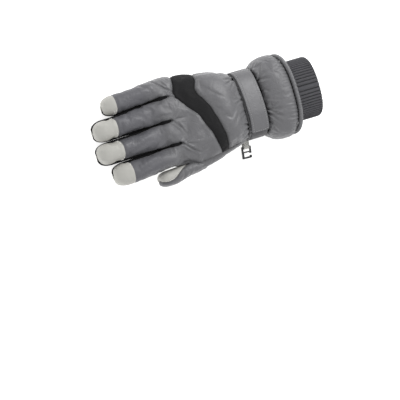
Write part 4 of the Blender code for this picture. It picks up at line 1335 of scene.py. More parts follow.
def cap_seams(points):
    """The dip where each pale cap is sewn on."""
    lift = np.zeros(len(points))
    for name, finger in FINGERS.items():
        cap_y = CROTCH_MIDDLE_Y + finger["length"] - finger["cap"]
        near = np.abs(points[:, 0] - finger["x"]) < finger["width"] / 2 + 3
        far = points[:, 1] - cap_y
        ridge = CAP_RIDGE * np.exp(-((np.abs(far) - 2.6) / 1.6) ** 2)
        shape = -CAP_GROOVE * np.exp(-(far / 1.0) ** 2) + ridge
        lift += np.where(near & (points[:, 1] > CROTCH_MIDDLE_Y + 30), shape, 0.0)
    return lift


back = make_back_cloth(back_angles, back_ends)
sew(back, seed=2)
displace(back, folded(read_points(back), BACK_FOLDS))
buckle(back, grow=0.05, pressure=2.0, cap=2.0)
displace(back, cap_seams(read_points(back)))
back = smooth_once(back)
BACK_NAMES = {0: "back_front_panel", 1: "thumb_side_cloth"}
for number, name in enumerate(FINGERS):
    BACK_NAMES[FIRST_FINGER_SHEET + number] = f"{name}_cloth"
    BACK_NAMES[FIRST_CAP_SHEET + number] = f"{name}_cap"
for piece in part_cloth(back, BACK_NAMES):
    report(piece)


# %% [markdown]
# ## Rear panel and knuckle stripe
# Two more cloths cross the back of the hand. The rear panel is gathered where it goes under the wrist
# strap, so it has a fan of pleats there. The stripe is a firmer softshell over less padding, so it puckers
# and buckles far less. Both run between two lines drawn over the hand, which is how a cutter would mark
# them, and both start as grids and not as one mesh cut apart, so that each keeps its own straight threads.

# %% Rear panel
REAR_FOLDS = (
    ((36, 28), (38, 48), 1.2, 1.6), ((36, 28), (31, 48), 1.2, 1.4), ((35, 28), (23, 43), 1.2, 1.3),
    ((8, 29), (12, 44), 1.1, 1.5), ((8, 29), (4, 43), 1.1, 1.6), ((9, 29), (17, 38), 1.1, 1.2),
    ((-24, 28), (-22, 40), 1.1, 1.6), ((-29, 28), (-31, 41), 1.1, 1.5), ((-35, 28), (-38, 40), 1.1, 1.4),
    ((-6, 28), (-10, 40), 1.2, 0.9), ((47, 29), (51, 46), 1.3, 1.0), ((20, 60), (34, 74), 2.0, 0.6),
    ((-10, 44), (-28, 58), 2.0, 0.6),
)
PLEAT_DEPTH = 0.4
PLEAT_WIDTH = 3.6


def strip_cloth(first_angle, last_angle, columns, rows, low, high, sheet=0):
    angles = np.linspace(first_angle, last_angle, columns + 1)
    bm = lay_sheet(columns, rows, between_lines(angles, low(angles), high(angles)), sheet)
    face_outwards(bm, lambda p: Vector((0, 0, 1)))
    return bm


def wrist_pleats(points, seed=3):
    """Pleats that start at the wrist and fade out towards the knuckles."""
    x, y = points[:, 0], points[:, 1]
    reach = np.exp(-clamp((y - BAND_LENGTH) / 60) * 6)
    phase = x / PLEAT_WIDTH + 1.6 * waves(np.stack([x / 3, y / 9, 0 * x], axis=1), 4.0, seed)
    return PLEAT_DEPTH * reach * np.sin(phase)


rear = strip_cloth(-SIDE_ANGLE, SIDE_SEAM, 120, 28, lambda a: np.full(len(a), BAND_LENGTH - 1.0),
                   hand_line(STRIPE_REAR))
sew(rear, tuck=1.8, crown=2.0, pucker=0.7, seed=4)
rear_points = read_points(rear)
displace(rear, wrist_pleats(rear_points) + folded(rear_points, REAR_FOLDS))
buckle(rear, grow=0.035, pressure=2.2, cap=2.2)
rear = smooth_once(rear)
report(part_cloth(rear, {0: "rear_panel_cloth"})[0])

# %% Knuckle stripe
stripe = strip_cloth(-SIDE_ANGLE, SIDE_SEAM, 80, 16, hand_line(STRIPE_REAR), hand_line(STRIPE_FRONT))
sew(stripe, tuck=0.9, crown=0.9, crown_reach=6, pucker=0.25, seed=5)
buckle(stripe, grow=0.015, pressure=1.5, cap=1.2, bending=2.0)
stripe = smooth_once(stripe)
report(part_cloth(stripe, {0: "stripe_cloth"})[0])


# %% [markdown]
# ## Between the fingers and under them
# A strip of dark knit stands on edge between two fingers and runs down one, round the crotch and up the
# next. Under each finger is pale leather. Both meet the back cloth in a seam at the finger's corner. A plain
# dark wall would show a sliver of daylight beside the seam, so each strip swells a little past the finger's
# skin in its middle, and its long edges are tucked in under the nylon as a seam allowance is.

# %% Walls, crotch webs and finger palms
KNIT_PROUD = {"index_middle": 1.35, "middle_ring": 1.15, "ring_little": 1.15}
WALL_UNDER = 12
WALL_TUCK = 1.7
FINGER_AXIS_Z = 13
WEB_BULGE = 1.6


def finger_strip(name, piece, first, last, columns, proud, crown, tucked=0.0):
    """proud is how far the strip's middle stands out, and tucked how far its long edges run in."""
    angles = np.linspace(first, last, columns + 1)
    swell = clamp(np.sin(np.linspace(0, np.pi, columns + 1)) * 1.8)
    skin, before, after = finger_skin(name, angles, mix(tucked, -proud, swell))
    bm = lay_sheet(columns, before + after, skin)
    bmesh.ops.remove_doubles(bm, verts=bm.verts, dist=0.05)
    middle = Vector((FINGERS[name]["x"], 0, 0))
    face_outwards(bm, lambda p: Vector((p.x - middle.x, 0, p.z - FINGER_AXIS_Z)))
    sew(bm, tuck=0.5, roll=1.4, crown=crown, crown_reach=4, pucker=0.15, seed=len(piece))
    bm = smooth_once(bm)
    return report(part_cloth(bm, {0: piece})[0])


def crotch_web(slit):
    """The bottom of the slit: a short knit strip that stands across it."""
    x_middle, y_front = CROTCH_X[slit], CROTCH_Y[slit]
    top = float(back_height(np.array(x_middle), 0.0))

    def skin(u, v):
        x = x_middle + (u - 0.5) * (SLIT_AT_ROOT + WEB_BULGE)
        y = y_front + 0.9 - WEB_BULGE * np.sin(np.pi * u)
        return stacked(x, y + 0 * v, mix(2.2, top - 0.9, v))
    bm = lay_sheet(8, 14, skin)
    face_outwards(bm, lambda p: Vector((0, 1, 0)))
    return report(part_cloth(bm, {0: f"{slit}_web"})[0])


for name, finger in FINGERS.items():
    left, right = finger["sides"]
    if right != "little_side":
        finger_strip(name, f"{name}_outward_knit", -PALM_CORNER - WALL_UNDER, SEAM_CORNER + WALL_UNDER, 12,
                     KNIT_PROUD[right], 0.1, WALL_TUCK)
    if left != "thumb_side":
        finger_strip(name, f"{name}_thumbward_knit", 180 - SEAM_CORNER - WALL_UNDER,
                     180 + PALM_CORNER + WALL_UNDER, 12, KNIT_PROUD[left], 0.1, WALL_TUCK)
        crotch_web(left)
    finger_strip(name, f"{name}_palm_leather", 180 + PALM_CORNER, 360 - PALM_CORNER, 14, 0.0, 0.6)


# %% [markdown]
# ## Palm
# The palm is the same pale leather from the wrist to the fingers, with a dark grip print laid over its
# middle. It is hidden when the glove lies palm down, so its cut is the usual one for such a glove. The
# leather lies nearly flat on the ground, so the simulation has nothing to do, and three shallow creases are
# laid in where a hand folds. The grip patch could be a second material on the leather, but it is a cloth of
# its own that is sewn on, with its own outline and thickness.

# %% Palm panel
PALM_FOLDS = (((-40, 92), (30, 84), 2.0, 0.35), ((-34, 108), (44, 100), 2.0, 0.35),
              ((-22, 104), (-2, 34), 2.0, 0.35))
palm_angles = np.linspace(180 + SIDE_ANGLE, 360 - SIDE_ANGLE, 65)
palm_ends = np.interp(palm_angles, *zip(*sorted(
    [(360 - SIDE_ANGLE, CROTCH_Y["little_side"]), (180 + SIDE_ANGLE, CROTCH_Y["thumb_side"])]
    + [(360 - float(hand_angle(x, CROTCH_MIDDLE_Y)), CROTCH_Y[slit]) for slit, x in CROTCH_X.items()])))
palm = lay_sheet(64, 50, between_lines(palm_angles, np.full(65, BAND_LENGTH + 0.0), palm_ends + 0.5))
face_outwards(palm, lambda p: Vector((0, 0, -1)))
sew(palm, tuck=1.0, crown=0.3, pucker=0.3, seed=6)
displace(palm, folded(read_points(palm), PALM_FOLDS))
palm = smooth_once(palm)
report(part_cloth(palm, {0: "palm_leather"})[0])

# %% Grip patch
PATCH_ANGLES = (228, 312)
PATCH_HEEL = BAND_LENGTH + 17
PATCH_END = BAND_LENGTH + 72
PATCH_PROUD = 0.9


def patch_skin(u, v):
    """A shape like a shield: full across the palm's heel and rounded towards the fingers."""
    angle = mix(*PATCH_ANGLES, u)
    y = mix(PATCH_HEEL, PATCH_END, v)
    point = hand_point(angle, y, 0.0)
    squeeze = 1 - 0.28 * np.abs(2 * v - 1) ** 4
    x = PALM_DRIFT / 2 + (point[..., 0] - PALM_DRIFT / 2) * squeeze
    return stacked(x, y + 3 * np.cos(np.pi * (u - 0.5)), np.full_like(x, PALM_Z - PATCH_PROUD))


patch = lay_sheet(40, 44, patch_skin)
face_outwards(patch, lambda p: Vector((0, 0, -1)))
report(part_cloth(patch, {0: "grip_patch"}, thickness=0.5)[0])


# %% [markdown]
# ## Thumb
# The thumb's back and outer side are nylon, and its inner side, which meets the fingers in a pinch, is
# leather. The seam between them starts in the crotch and slides over the back of the thumb to its tip. The
# two could be one tube with two materials, but then the seam would be a mere line of colour, so each is a
# sheet that rolls under along the shared line. Both start a little inside the mound of the hand.

# %% Thumb
THUMB_ROWS = 34
THUMB_SUNK = -0.2
THUMB_TIP_ROWS_FROM = 0.7
THUMB_SEAM_ANGLES = (10, 118)
THUMB_AXIS_Z = 14
THUMB_FOLDS = (((-66, 112), (-54, 106), 1.2, 0.5), ((-67, 118), (-56, 113), 1.2, 0.45),
               ((-68, 128), (-60, 122), 1.2, 0.4))


def thumb_seam(s):
    return mix(*THUMB_SEAM_ANGLES, ease(s * 1.15))


def thumb_skin(on_back):
    def skin(u, v):
        straight = 1 - THUMB_DOME / THUMB_LENGTH
        bend = THUMB_TIP_ROWS_FROM
        s = np.where(v < bend, mix(THUMB_SUNK, straight, v / bend),
                     1 - (1 - straight) * (1 - np.sin(clamp((v - bend) / (1 - bend)) * np.pi / 2)))
        top = thumb_seam(clamp(s))
        angle = mix(top, 360 - top, u) if on_back else mix(-top, top, u)
        sunk = 1.6 * ease(-s / 0.16 + 0.35)
        return thumb_point(angle, s, sunk)
    return skin


def make_thumb_side(piece, on_back, columns, seed):
    bm = lay_sheet(columns, THUMB_ROWS, thumb_skin(on_back))
    bmesh.ops.remove_doubles(bm, verts=bm.verts, dist=0.03)
    axis_x = THUMB_INNER_X - THUMB_ROOT_WIDTH / 2
    face_outwards(bm, lambda p: Vector((p.x - axis_x, 0, p.z - THUMB_AXIS_Z)))
    sew(bm, tuck=0.8, roll=1.6, crown=0.9, crown_reach=5, pucker=0.35, pitch=2.8, reach=4, seed=seed)
    if on_back:
        displace(bm, folded(read_points(bm), THUMB_FOLDS))
        buckle(bm, grow=0.03, pressure=1.5, cap=1.2)
    bm = smooth_once(bm)
    return report(part_cloth(bm, {0: piece})[0])


make_thumb_side("thumb_cloth", True, 36, 7)
make_thumb_side("thumb_leather", False, 22, 8)


# %% [markdown]
# ## Wrist band, strap and anchor
# An elastic inside the band draws the wrist in, so the band is all small gathers. The cloth simulation could
# shrink it into them, but gathers this fine would need a very dense grid, so they are a sine along the
# ring that noise pushes out of step.

# %% Wrist band
BAND_GATHERS = 60
BAND_AXIS_Z = 22


def band_skin(u, v):
    angle = 360 * u
    y = mix(HINGE_GAP / 2, BAND_LENGTH - 0.2, v)
    return hand_point(angle, y, 0.0)


def gathered_ring(columns, rows, skin, gathers, depth, seed, outward_from, sheet_roll=1.0):
    """A closed ring of cloth, drawn into folds that run along the hand."""
    bm = lay_sheet(columns, rows, skin)
    bmesh.ops.remove_doubles(bm, verts=bm.verts, dist=0.03)
    face_outwards(bm, lambda p: Vector((p.x - outward_from[0], 0, p.z - outward_from[1])))
    points = read_points(bm)
    turn = np.arctan2(points[:, 2] - outward_from[1], points[:, 0] - outward_from[0])
    bend = waves(np.stack([np.cos(turn) * 30, np.sin(turn) * 30, points[:, 1] * 0.5], axis=1), 6.0, seed)
    far, _ = seam_reach(bm)
    displace(bm, depth * np.sin(turn * gathers + 2.5 * bend) - 0.8 * np.exp(-(far / sheet_roll) ** 2))
    return bm


band = gathered_ring(240, 14, band_skin, BAND_GATHERS, 0.4, 9, (0, BAND_AXIS_Z))
band = smooth_once(band)
report(part_cloth(band, {0: "wrist_band_cloth"})[0])

# %% [markdown]
# ## Strap, anchor and fastener tapes
# The strap is a flat sewn strap of the same nylon, fixed at the little finger's side and pressed onto loop
# tape towards the thumb. A curve with a bevelled profile would give the same ribbon, but could not change its
# width at the cut corners of the end. So it is a slab whose section, a squared-off ring, is carried round
# the wrist and drawn in at both ends. Each layer keeps a small gap to the one below it.

# %% Strap, anchor and fastener tapes
EDGE_GAP = 0.4
STRAP_WIDTH = 25
STRAP_THICKNESS = 2.2
STRAP_HINGE_ANGLE = 14
STRAP_END_ANGLE = 137
TAPE_LAYER = 0.8
CLIMB_START = 65
CLIMB_RUN = 40
EDGE_BEVEL = 0.75
TOPSTITCH_IN = 2.6
LOOP_TAPE_END = 203
STRAP_UNDER = 2 * TAPE_LAYER + 3 * EDGE_GAP
BAND_MIDDLE = BAND_LENGTH / 2


def strap_lift(angle):
    """How far the strap's under side lies above the band: it climbs over the two tapes."""
    return mix(EDGE_GAP, STRAP_UNDER, ease((angle - CLIMB_START) / CLIMB_RUN))


def flat_strap(piece, first, last, steps, width, thickness, lift, cut_corner=0.0, pillow=0.0):
    """A slab with rounded edges round the wrist: its section is a squared-off ring, drawn in at both ends."""
    def skin(u, v):
        angle = mix(first, last, v)
        c, s = circle(360 * u)
        reach = (last - first) * np.minimum(v, 1 - v) * EDGE_BEVEL
        end = dome(reach + 0.02, thickness / 2, 2.0)
        late = clamp((v - 1) * (last - first) * EDGE_BEVEL / 4 + 1)
        half = width / 2 * (1 - cut_corner * late ** 2) * mix(0.985, 1, end)
        across = half * signed_power(c, 0.22)
        seam = 1 - 0.28 * np.exp(-((np.abs(across) - half + TOPSTITCH_IN) / 0.7) ** 2)
        high = thickness / 2 * signed_power(s, 0.45) * end * seam
        high = high + pillow * np.where(s > 0, 1 - (across / half) ** 4, 0) * end
        depth = -(lift(angle) + thickness / 2 + high)
        return hand_point(angle, BAND_MIDDLE + across, depth)
    bm = lay_sheet(56, steps, skin)
    bmesh.ops.remove_doubles(bm, verts=bm.verts, dist=0.01)
    bmesh.ops.holes_fill(bm, edges=[e for e in bm.edges if e.is_boundary])
    bmesh.ops.recalc_face_normals(bm, faces=bm.faces)
    return report(part_cloth(bm, {0: piece}, walls=False)[0])


flat_strap("wrist_strap", STRAP_HINGE_ANGLE + 0.8, STRAP_END_ANGLE, 80, STRAP_WIDTH, STRAP_THICKNESS,
           strap_lift, cut_corner=0.16, pillow=0.25)
flat_strap("strap_anchor_cloth", -STRAP_HINGE_ANGLE - 12, STRAP_HINGE_ANGLE - 0.8, 34, STRAP_WIDTH,
           STRAP_THICKNESS, lambda angle: EDGE_GAP)
flat_strap("loop_tape", STRAP_END_ANGLE - 28, LOOP_TAPE_END, 60, STRAP_WIDTH - 4, TAPE_LAYER,
           lambda angle: EDGE_GAP)
flat_strap("hook_tape", 115, 132, 20, STRAP_WIDTH - 4, TAPE_LAYER,
           lambda angle: 2 * EDGE_GAP + TAPE_LAYER)


# %% [markdown]
# ## Cuff
# The cuff is a padded sleeve gathered at both ends: into the wrist seam, and into the rolled hem. Its pleats
# are deep at the ends and die out in the middle. Left to itself the simulation spreads its folds evenly
# round the ring, so the deep tucks of the wrist seam are laid in first, each with an angle of its own, and
# the cloth then puffs up between them.

# %% Cuff cloth
CUFF_COLUMNS = 280
CUFF_ROWS = 26
CUFF_AXIS_Z = 26
CUFF_CROWN = 2.6
CUFF_END_TUCK = 2.6
HEM_FOLDS = 60
WRIST_GATHERS = 34
TUCK_BRANCHES = ((-30, 0.7), (0, 1.0), (26, 0.8))
CUFF_END = 1 - (HEM_RADIUS + EDGE_GAP) / (CUFF_LENGTH - HEM_SLANT)


def cuff_skin(u, v):
    return cuff_point(360 * u, mix(HINGE_GAP / 2 / CUFF_LENGTH, CUFF_END, v), 0.0)


CUFF_TUCKS = ((34, 0.42, 2.4), (60, 0.25, 1.0), (87, 0.36, 2.2), (104, 0.2, 1.0), (121, 0.44, 2.6),
              (133, 0.5, 1.8), (150, 0.3, 1.4), (10, 0.3, 1.3), (175, 0.3, 1.2), (210, 0.3, 1.0),
              (250, 0.3, 1.0), (300, 0.3, 1.0), (345, 0.3, 1.2))


def cuff_pleats(points, seed=11):
    """Deep pleats from both ends of the cuff, each with its own length."""
    turn = np.degrees(np.arctan2(points[:, 2] - CUFF_AXIS_Z, points[:, 0]))
    hem = hem_y(turn) * CUFF_END
    share = clamp(points[:, 1] / hem)
    around = np.stack([np.cos(np.radians(turn)), np.sin(np.radians(turn))], axis=1) * 40
    bend = waves(np.stack([around[:, 0], around[:, 1], share * 6], axis=1), 9.0, seed)
    length = 0.3 + 0.2 * waves(np.stack([around[:, 0], around[:, 1], 0 * share], axis=1), 5.0, seed + 1)
    at_wrist = np.exp(-(share / length) ** 2)
    at_hem = np.exp(-((1 - share) / (length * 0.55)) ** 2)
    wrist_folds = 0.22 * at_wrist * np.sin(np.radians(turn) * WRIST_GATHERS + 2.6 * bend)
    for middle, reach, deep in CUFF_TUCKS:
        away = (turn - middle + 180) % 360 - 180
        for slope, part in TUCK_BRANCHES:
            across = (away - slope * share) / (1.7 + 4 * share)
            fold = np.exp(-across ** 2) - 0.35 * np.exp(-(np.abs(across) - 2) ** 2)
            wrist_folds -= deep * part * fold * np.exp(-(share / (reach * part)) ** 2)
    hem_folds = 0.8 * at_hem * np.sin(np.radians(turn) * HEM_FOLDS + 3.0 * bend)
    crown = CUFF_CROWN * np.sin(np.pi * share) ** 0.8
    wrist_end = -CUFF_END_TUCK * np.exp(-(share / 0.08) ** 2)
    hem_end = CUFF_END_TUCK * np.exp(-((1 - share) / 0.07) ** 2)
    return wrist_folds + hem_folds + crown + (wrist_end - hem_end)


cuff = lay_sheet(CUFF_COLUMNS, CUFF_ROWS, cuff_skin)
bmesh.ops.remove_doubles(cuff, verts=cuff.verts, dist=0.03)
face_outwards(cuff, lambda p: Vector((p.x, 0, p.z - CUFF_AXIS_Z)))
cuff_points = read_points(cuff)
cuff_lift = cuff_pleats(cuff_points)
displace(cuff, np.where(cuff_points[:, 2] < 3, np.minimum(cuff_lift, 0.0), cuff_lift))
buckle(cuff, grow=0.04, pressure=2.0, cap=2.0)
cuff = smooth_once(cuff)
report(part_cloth(cuff, {0: "cuff_cloth"})[0])

# %% [markdown]
# ## Rolled hem
# The hem is a strip of nylon rolled on itself and drawn in with the cuff's gathers. A torus would be too
# even and too round, so a ring is carried along the slanted edge of the cuff, and small wrinkles run round
# it as thread draws them in.

# %% Rolled hem
HEM_GATHERS = 96


def hem_skin(u, v):
    angle = 360 * u
    around = 2 * np.pi * v
    centre = cuff_point(angle, 1.0, HEM_RADIUS)
    wrinkle = 1 + 0.09 * np.sin(np.radians(angle) * HEM_GATHERS + 2.2 * np.sin(np.radians(angle) * 7))
    radius = (HEM_RADIUS - 0.2) * wrinkle
    c, s = circle(angle)
    outward = np.stack([signed_power(c, 0.8), 0 * c, signed_power(s, 0.8)], axis=-1)
    outward = outward / np.linalg.norm(outward, axis=-1, keepdims=True)
    along = np.array((0.0, 1.0, 0.0))
    spoke = outward * np.cos(around)[..., None] + along * np.sin(around)[..., None]
    return centre + spoke * radius[..., None]


def closed_tube(piece, columns, rows, skin, groove=None):
    bm = lay_sheet(columns, rows, skin)
    edge = bm.verts.layers.float.new("edge")
    if groove:
        grid, u, _ = flat_grid(columns, rows)
        grid.free()
        for vertex, dark in zip(bm.verts, groove(u)):
            vertex[edge] = dark
    bmesh.ops.remove_doubles(bm, verts=bm.verts, dist=0.01)
    bmesh.ops.recalc_face_normals(bm, faces=bm.faces)
    rest_on_floor(bm)
    write_points(bm, to_frame(read_points(bm)))
    PIECES[piece] = object_of(piece, bm)
    return report(PIECES[piece])


closed_tube("rolled_hem", 480, 16, hem_skin)

# %% [markdown]
# ## Knit cuff
# The inner cuff is knitted in ribs that hug the wrist. A bump would leave its outline smooth, and the end of
# the cuff shows the ribs as a row of teeth, so they are real ridges, eight columns of the grid to a rib. The
# tube is one sheet that runs down the outside, turns at the end and comes back inside. The valleys are
# marked in an attribute, which darkens them as their own shade does on the real knit.

# %% Knit cuff
KNIT_RIBS = 62
KNIT_THICKNESS = 2.4
KNIT_ROWS = 60
RIB_DEPTH = 1.0
TURN_START = 0.56
TURN_END = 0.64
TURN_OVERHANG = 1.1


def knit_skin(u, v):
    """v runs from the hidden edge along the outside, round the end, and back inside."""
    angle = 360 * u
    outside, turn = TURN_START, TURN_END
    s = np.where(v < outside, v / outside, np.where(v < turn, 1.0, 1 - (v - turn) / (1 - turn) * 0.6))
    half_turn = clamp((v - outside) / (turn - outside)) * np.pi
    depth = KNIT_THICKNESS / 2 * (1 - np.cos(half_turn))
    ribs = RIB_DEPTH * (np.abs(np.sin(np.radians(angle) * KNIT_RIBS / 2)) ** 0.7 * 2 - 1)
    sign = np.where(v < (outside + turn) / 2, 1.0, -1.0) * np.abs(np.cos(half_turn))
    sway = 0.5 * np.sin(s * 9 + np.radians(angle) * 2) * (1 - s)
    point = knit_point(angle, s, depth - ribs * sign - sway)
    overhang = -TURN_OVERHANG * np.sin(half_turn)
    point[..., 1] += np.where((v >= outside) & (v <= turn), overhang, 0.0)
    return point


# How much painted shade each rib's valley gets; the fabric reads it through the edge attribute.
def rib_valley(u):
    return (1 - np.abs(np.sin(np.pi * u * KNIT_RIBS))) ** 2


closed_tube("ribbed_cuff", KNIT_RIBS * 8, KNIT_ROWS, knit_skin, rib_valley)


# %% [markdown]
# ## Linings
# Fleece lines the hand and the cuff, and is seen through the opening only. It could be left out of a view
# from above, but an open cuff would then show the back of the nylon. It is one sheet from the fingers'
# end to the hem, parted at the wrist into a hand half and a cuff half.

# %% Linings
LINING_INSET = 7.2
CUFF_LINING_INSET = 6.5
LINING_FRONT_Y = 112
LINING_WRIST_Y = 1.5
LINING_SPLIT = 0.6
LINING_AXIS_Z = 24


def lining_skin(u, v):
    """From inside the hand, where it is closed off at the fingers, back to the cuff's hem."""
    angle = 360 * u
    y = mix(LINING_FRONT_Y, LINING_WRIST_Y, clamp(v / LINING_SPLIT))
    closing = dome(clamp(v / 0.12) * 14 + 0.01, 14, 2.2)
    ring = hand_point(angle, y, LINING_INSET)
    middle = np.stack([np.full_like(angle, PALM_DRIFT * 0.8), y, np.full_like(angle, 22.0)], axis=-1)
    in_hand = middle + (ring - middle) * closing[..., None]
    in_cuff = cuff_point(angle, clamp((v - LINING_SPLIT) / 0.4) * 0.98, CUFF_LINING_INSET)
    share = ease((v - 0.55) / 0.1)[..., None]
    folds = 0.35 * np.sin(np.radians(angle) * 24 + 3 * np.sin(v * 14))[..., None]
    return mix(in_hand, in_cuff, share) + folds * (middle - ring) / 30


lining = lay_sheet(120, 60, lining_skin)
bmesh.ops.remove_doubles(lining, verts=lining.verts, dist=0.03)
face_outwards(lining, lambda p: Vector((p.x, 0, p.z - LINING_AXIS_Z)))
past_wrist = [f for f in lining.faces if f.calc_center_median().y < 0]
for face in past_wrist:
    face.material_index = 1
for obj in part_cloth(lining, {0: "hand_lining_fleece", 1: "cuff_lining_fleece"}):
    report(obj)


# %% [markdown]
# ## Webbing loop
# A short tape is sewn into the wrist seam and folded round the bar of a small plastic clip, which hooks the
# pair together. Its path is two straight runs and a half turn. A curve object could carry it, but the ribs
# that cross the tape need rows of their own, so it is a sheet laid along that path.

# %% Webbing loop
TAPE_LENGTH = 13
TAPE_WIDTH = 8
TAPE_THICKNESS = 0.9
TAPE_ROOT = hand_point(200, BAND_MIDDLE)[0] - EDGE_GAP
TAPE_BELOW = 3.155
TAPE_SUNK = 2.5
TAPE_HEADING = (-0.93, 0.05, -0.22)
TAPE_LEVEL = hand_point(LOOP_TAPE_END, BAND_MIDDLE)[2] - TAPE_BELOW
TAPE_ORIGIN = np.array((TAPE_ROOT, BAND_LENGTH * 0.8, TAPE_LEVEL))
TAPE_OUT = np.array(TAPE_HEADING) / np.linalg.norm(TAPE_HEADING)
TAPE_ACROSS = np.cross((0, 0, 1), TAPE_OUT)
TAPE_ACROSS = TAPE_ACROSS / np.linalg.norm(TAPE_ACROSS)
TAPE_UP = np.cross(TAPE_OUT, TAPE_ACROSS)
LOOP_RADIUS = 2.4
WEBBING_RIB = 1.5


def webbing_skin(u, v):
    straight = TAPE_LENGTH + TAPE_SUNK - LOOP_RADIUS - TAPE_THICKNESS / 2
    bend = np.pi * LOOP_RADIUS
    run = v * (2 * straight + bend)
    turned = clamp((run - straight) / bend) * np.pi
    out = np.where(run < straight, run, np.where(run > straight + bend, 2 * straight + bend - run, straight))
    out = out - TAPE_SUNK + LOOP_RADIUS * np.sin(turned)
    up = LOOP_RADIUS * np.cos(turned)
    rib = 0.1 * np.sin(run / WEBBING_RIB * 2 * np.pi) * np.sign(np.cos(turned) + 1e-9)
    across = (u - 0.5) * TAPE_WIDTH
    return (TAPE_ORIGIN + out[..., None] * TAPE_OUT + (up + rib)[..., None] * TAPE_UP
            + across[..., None] * TAPE_ACROSS)


webbing = lay_sheet(12, 90, webbing_skin)
face_outwards(webbing, lambda p: Vector(TAPE_UP) * (1 if (np.array(p) - TAPE_ORIGIN) @ TAPE_UP > 0 else -1))
webbing = smooth_once(webbing)
report(part_cloth(webbing, {0: "webbing_tape"}, thickness=TAPE_THICKNESS * 0.65)[0])


# %% [markdown]
# ## Clip
# The clip is a small moulded hook. It could be built again from boxes, but its hard shape is right in the
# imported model, so a copy of that is merged, the triangles of its flat faces are dissolved, and its sharp
# edges are bevelled, because a moulded part never has a knife edge to catch the light.

# %% Clip
CLIP_ROUNDING = 0.35


def rounded_copy(node, piece, width):
    bm = bmesh.new()
    bm.from_mesh(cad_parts[node].data)
    bmesh.ops.remove_doubles(bm, verts=bm.verts, dist=0.01 * MM)
    bmesh.ops.dissolve_limit(bm, angle_limit=math.radians(2), verts=bm.verts, edges=bm.edges)
    sharp = [e for e in bm.edges if e.is_manifold and e.calc_face_angle() > math.radians(30)]
    bmesh.ops.bevel(bm, geom=sharp, offset=width * MM, offset_type="OFFSET", affect="EDGES", segments=3,
                    profile=0.5, material=-1, clamp_overlap=True)
    bmesh.ops.triangulate(bm, faces=[f for f in bm.faces if len(f.verts) > 4])
    for face in bm.faces:
        face.smooth = False
    PIECES[piece] = object_of(piece, bm)
    return report(PIECES[piece])


rounded_copy("clip_hook", "clip", CLIP_ROUNDING)


# %% [markdown]
# ## Stitches
# A topstitch is a row of short thread bumps a needle's width apart. A dashed line in the material would be
# lighter to compute, but thread stands up and throws a shadow. One bump is a small squashed sphere with few
# faces, a row repeats it along a path, and every bump sits down onto the finished cloth under it.

# %% A row of stitches
STITCH_PITCH = 2.7
STITCH_LENGTH = 1.9
THREAD_RADIUS = 0.36


def even_points(path, pitch):
    """Points a stitch apart along a path, and the path's direction at each."""
    path = np.asarray(path, float)
    steps = np.linalg.norm(np.diff(path, axis=0), axis=1)
    run = np.concatenate([[0], np.cumsum(steps)])
    count = max(int(run[-1] / pitch), 2)
    spots = (np.arange(count) + 0.5) * run[-1] / count
    at = np.stack([np.interp(spots, run, path[:, k]) for k in range(3)], axis=1)
    ahead = np.stack([np.interp(spots + 0.3, run, path[:, k]) for k in range(3)], axis=1)
    behind = np.stack([np.interp(spots - 0.3, run, path[:, k]) for k in range(3)], axis=1)
    return at, ahead - behind


def stitch(piece, hosts, paths, radius=THREAD_RADIUS, pitch=STITCH_PITCH, length=STITCH_LENGTH):
    trees = []
    for host in hosts:
        bm = bmesh.new()
        bm.from_mesh(PIECES[host].data)
        trees.append(BVHTree.FromBMesh(bm))
        bm.free()
    row = bmesh.new()
    for path in paths:
        for at, heading in zip(*even_points(path, pitch)):
            spot = Vector(to_frame(at))
            found = min((tree.find_nearest(spot) for tree in trees), key=lambda hit: hit[3])
            normal = found[1]
            forward = Vector(heading).normalized()
            side = normal.cross(forward).normalized()
            forward = side.cross(normal).normalized()
            turn = Matrix((forward, side, normal)).transposed().to_4x4()
            turn.translation = found[0] + normal * radius * 0.35 * MM
            size = Matrix.Diagonal((length / 2 * MM, radius * MM, radius * 0.9 * MM, 1))
            bmesh.ops.create_uvsphere(row, u_segments=6, v_segments=5, radius=1.0, matrix=turn @ size)
    for face in row.faces:
        face.smooth = True
    PIECES[piece] = object_of(piece, row)
    return report(PIECES[piece])


print("stitches are", STITCH_LENGTH, "mm long,", STITCH_PITCH, "mm apart")


# %% The seams that are topstitched
CAP_ROWS_AHEAD = (1.7, 3.9)


def finger_ring(name, y, first, last):
    """A line across a finger's back at y."""
    angles = np.linspace(first, last, 60)
    root = finger_root_y(name, angles)
    tip = CROTCH_MIDDLE_Y + FINGERS[name]["length"]
    return finger_point(name, angles, (y - root) / (tip - root), -0.5)


for name, finger in FINGERS.items():
    first, last = back_corners(name)
    cap_y = CROTCH_MIDDLE_Y + finger["length"] - finger["cap"]
    rows = [finger_ring(name, cap_y + ahead, first + 8, last - 8) for ahead in CAP_ROWS_AHEAD]
    stitch(f"{name}_cap_stitches", [f"{name}_cap"], rows, radius=0.46, pitch=2.3)

strap_run = np.linspace(STRAP_HINGE_ANGLE + 4, STRAP_END_ANGLE - 3, 90)
strap_top = -(strap_lift(strap_run) + STRAP_THICKNESS + 0.4)
strap_rows = [hand_point(strap_run, BAND_MIDDLE + side * (STRAP_WIDTH / 2 - TOPSTITCH_IN), strap_top)
              for side in (-1, 1)]
strap_end = hand_point(STRAP_END_ANGLE - 4, BAND_MIDDLE + np.linspace(-8, 8, 20), -(STRAP_UNDER + 2.6))
stitch("strap_stitches", ["wrist_strap"], strap_rows + [strap_end], radius=0.38)
seam_s = np.linspace(0.06, 0.93, 60)
thumb_row = thumb_point(thumb_seam(seam_s) - 7, seam_s, -0.5)
stitch("thumb_stitches", ["thumb_leather"], [thumb_row], radius=0.32)


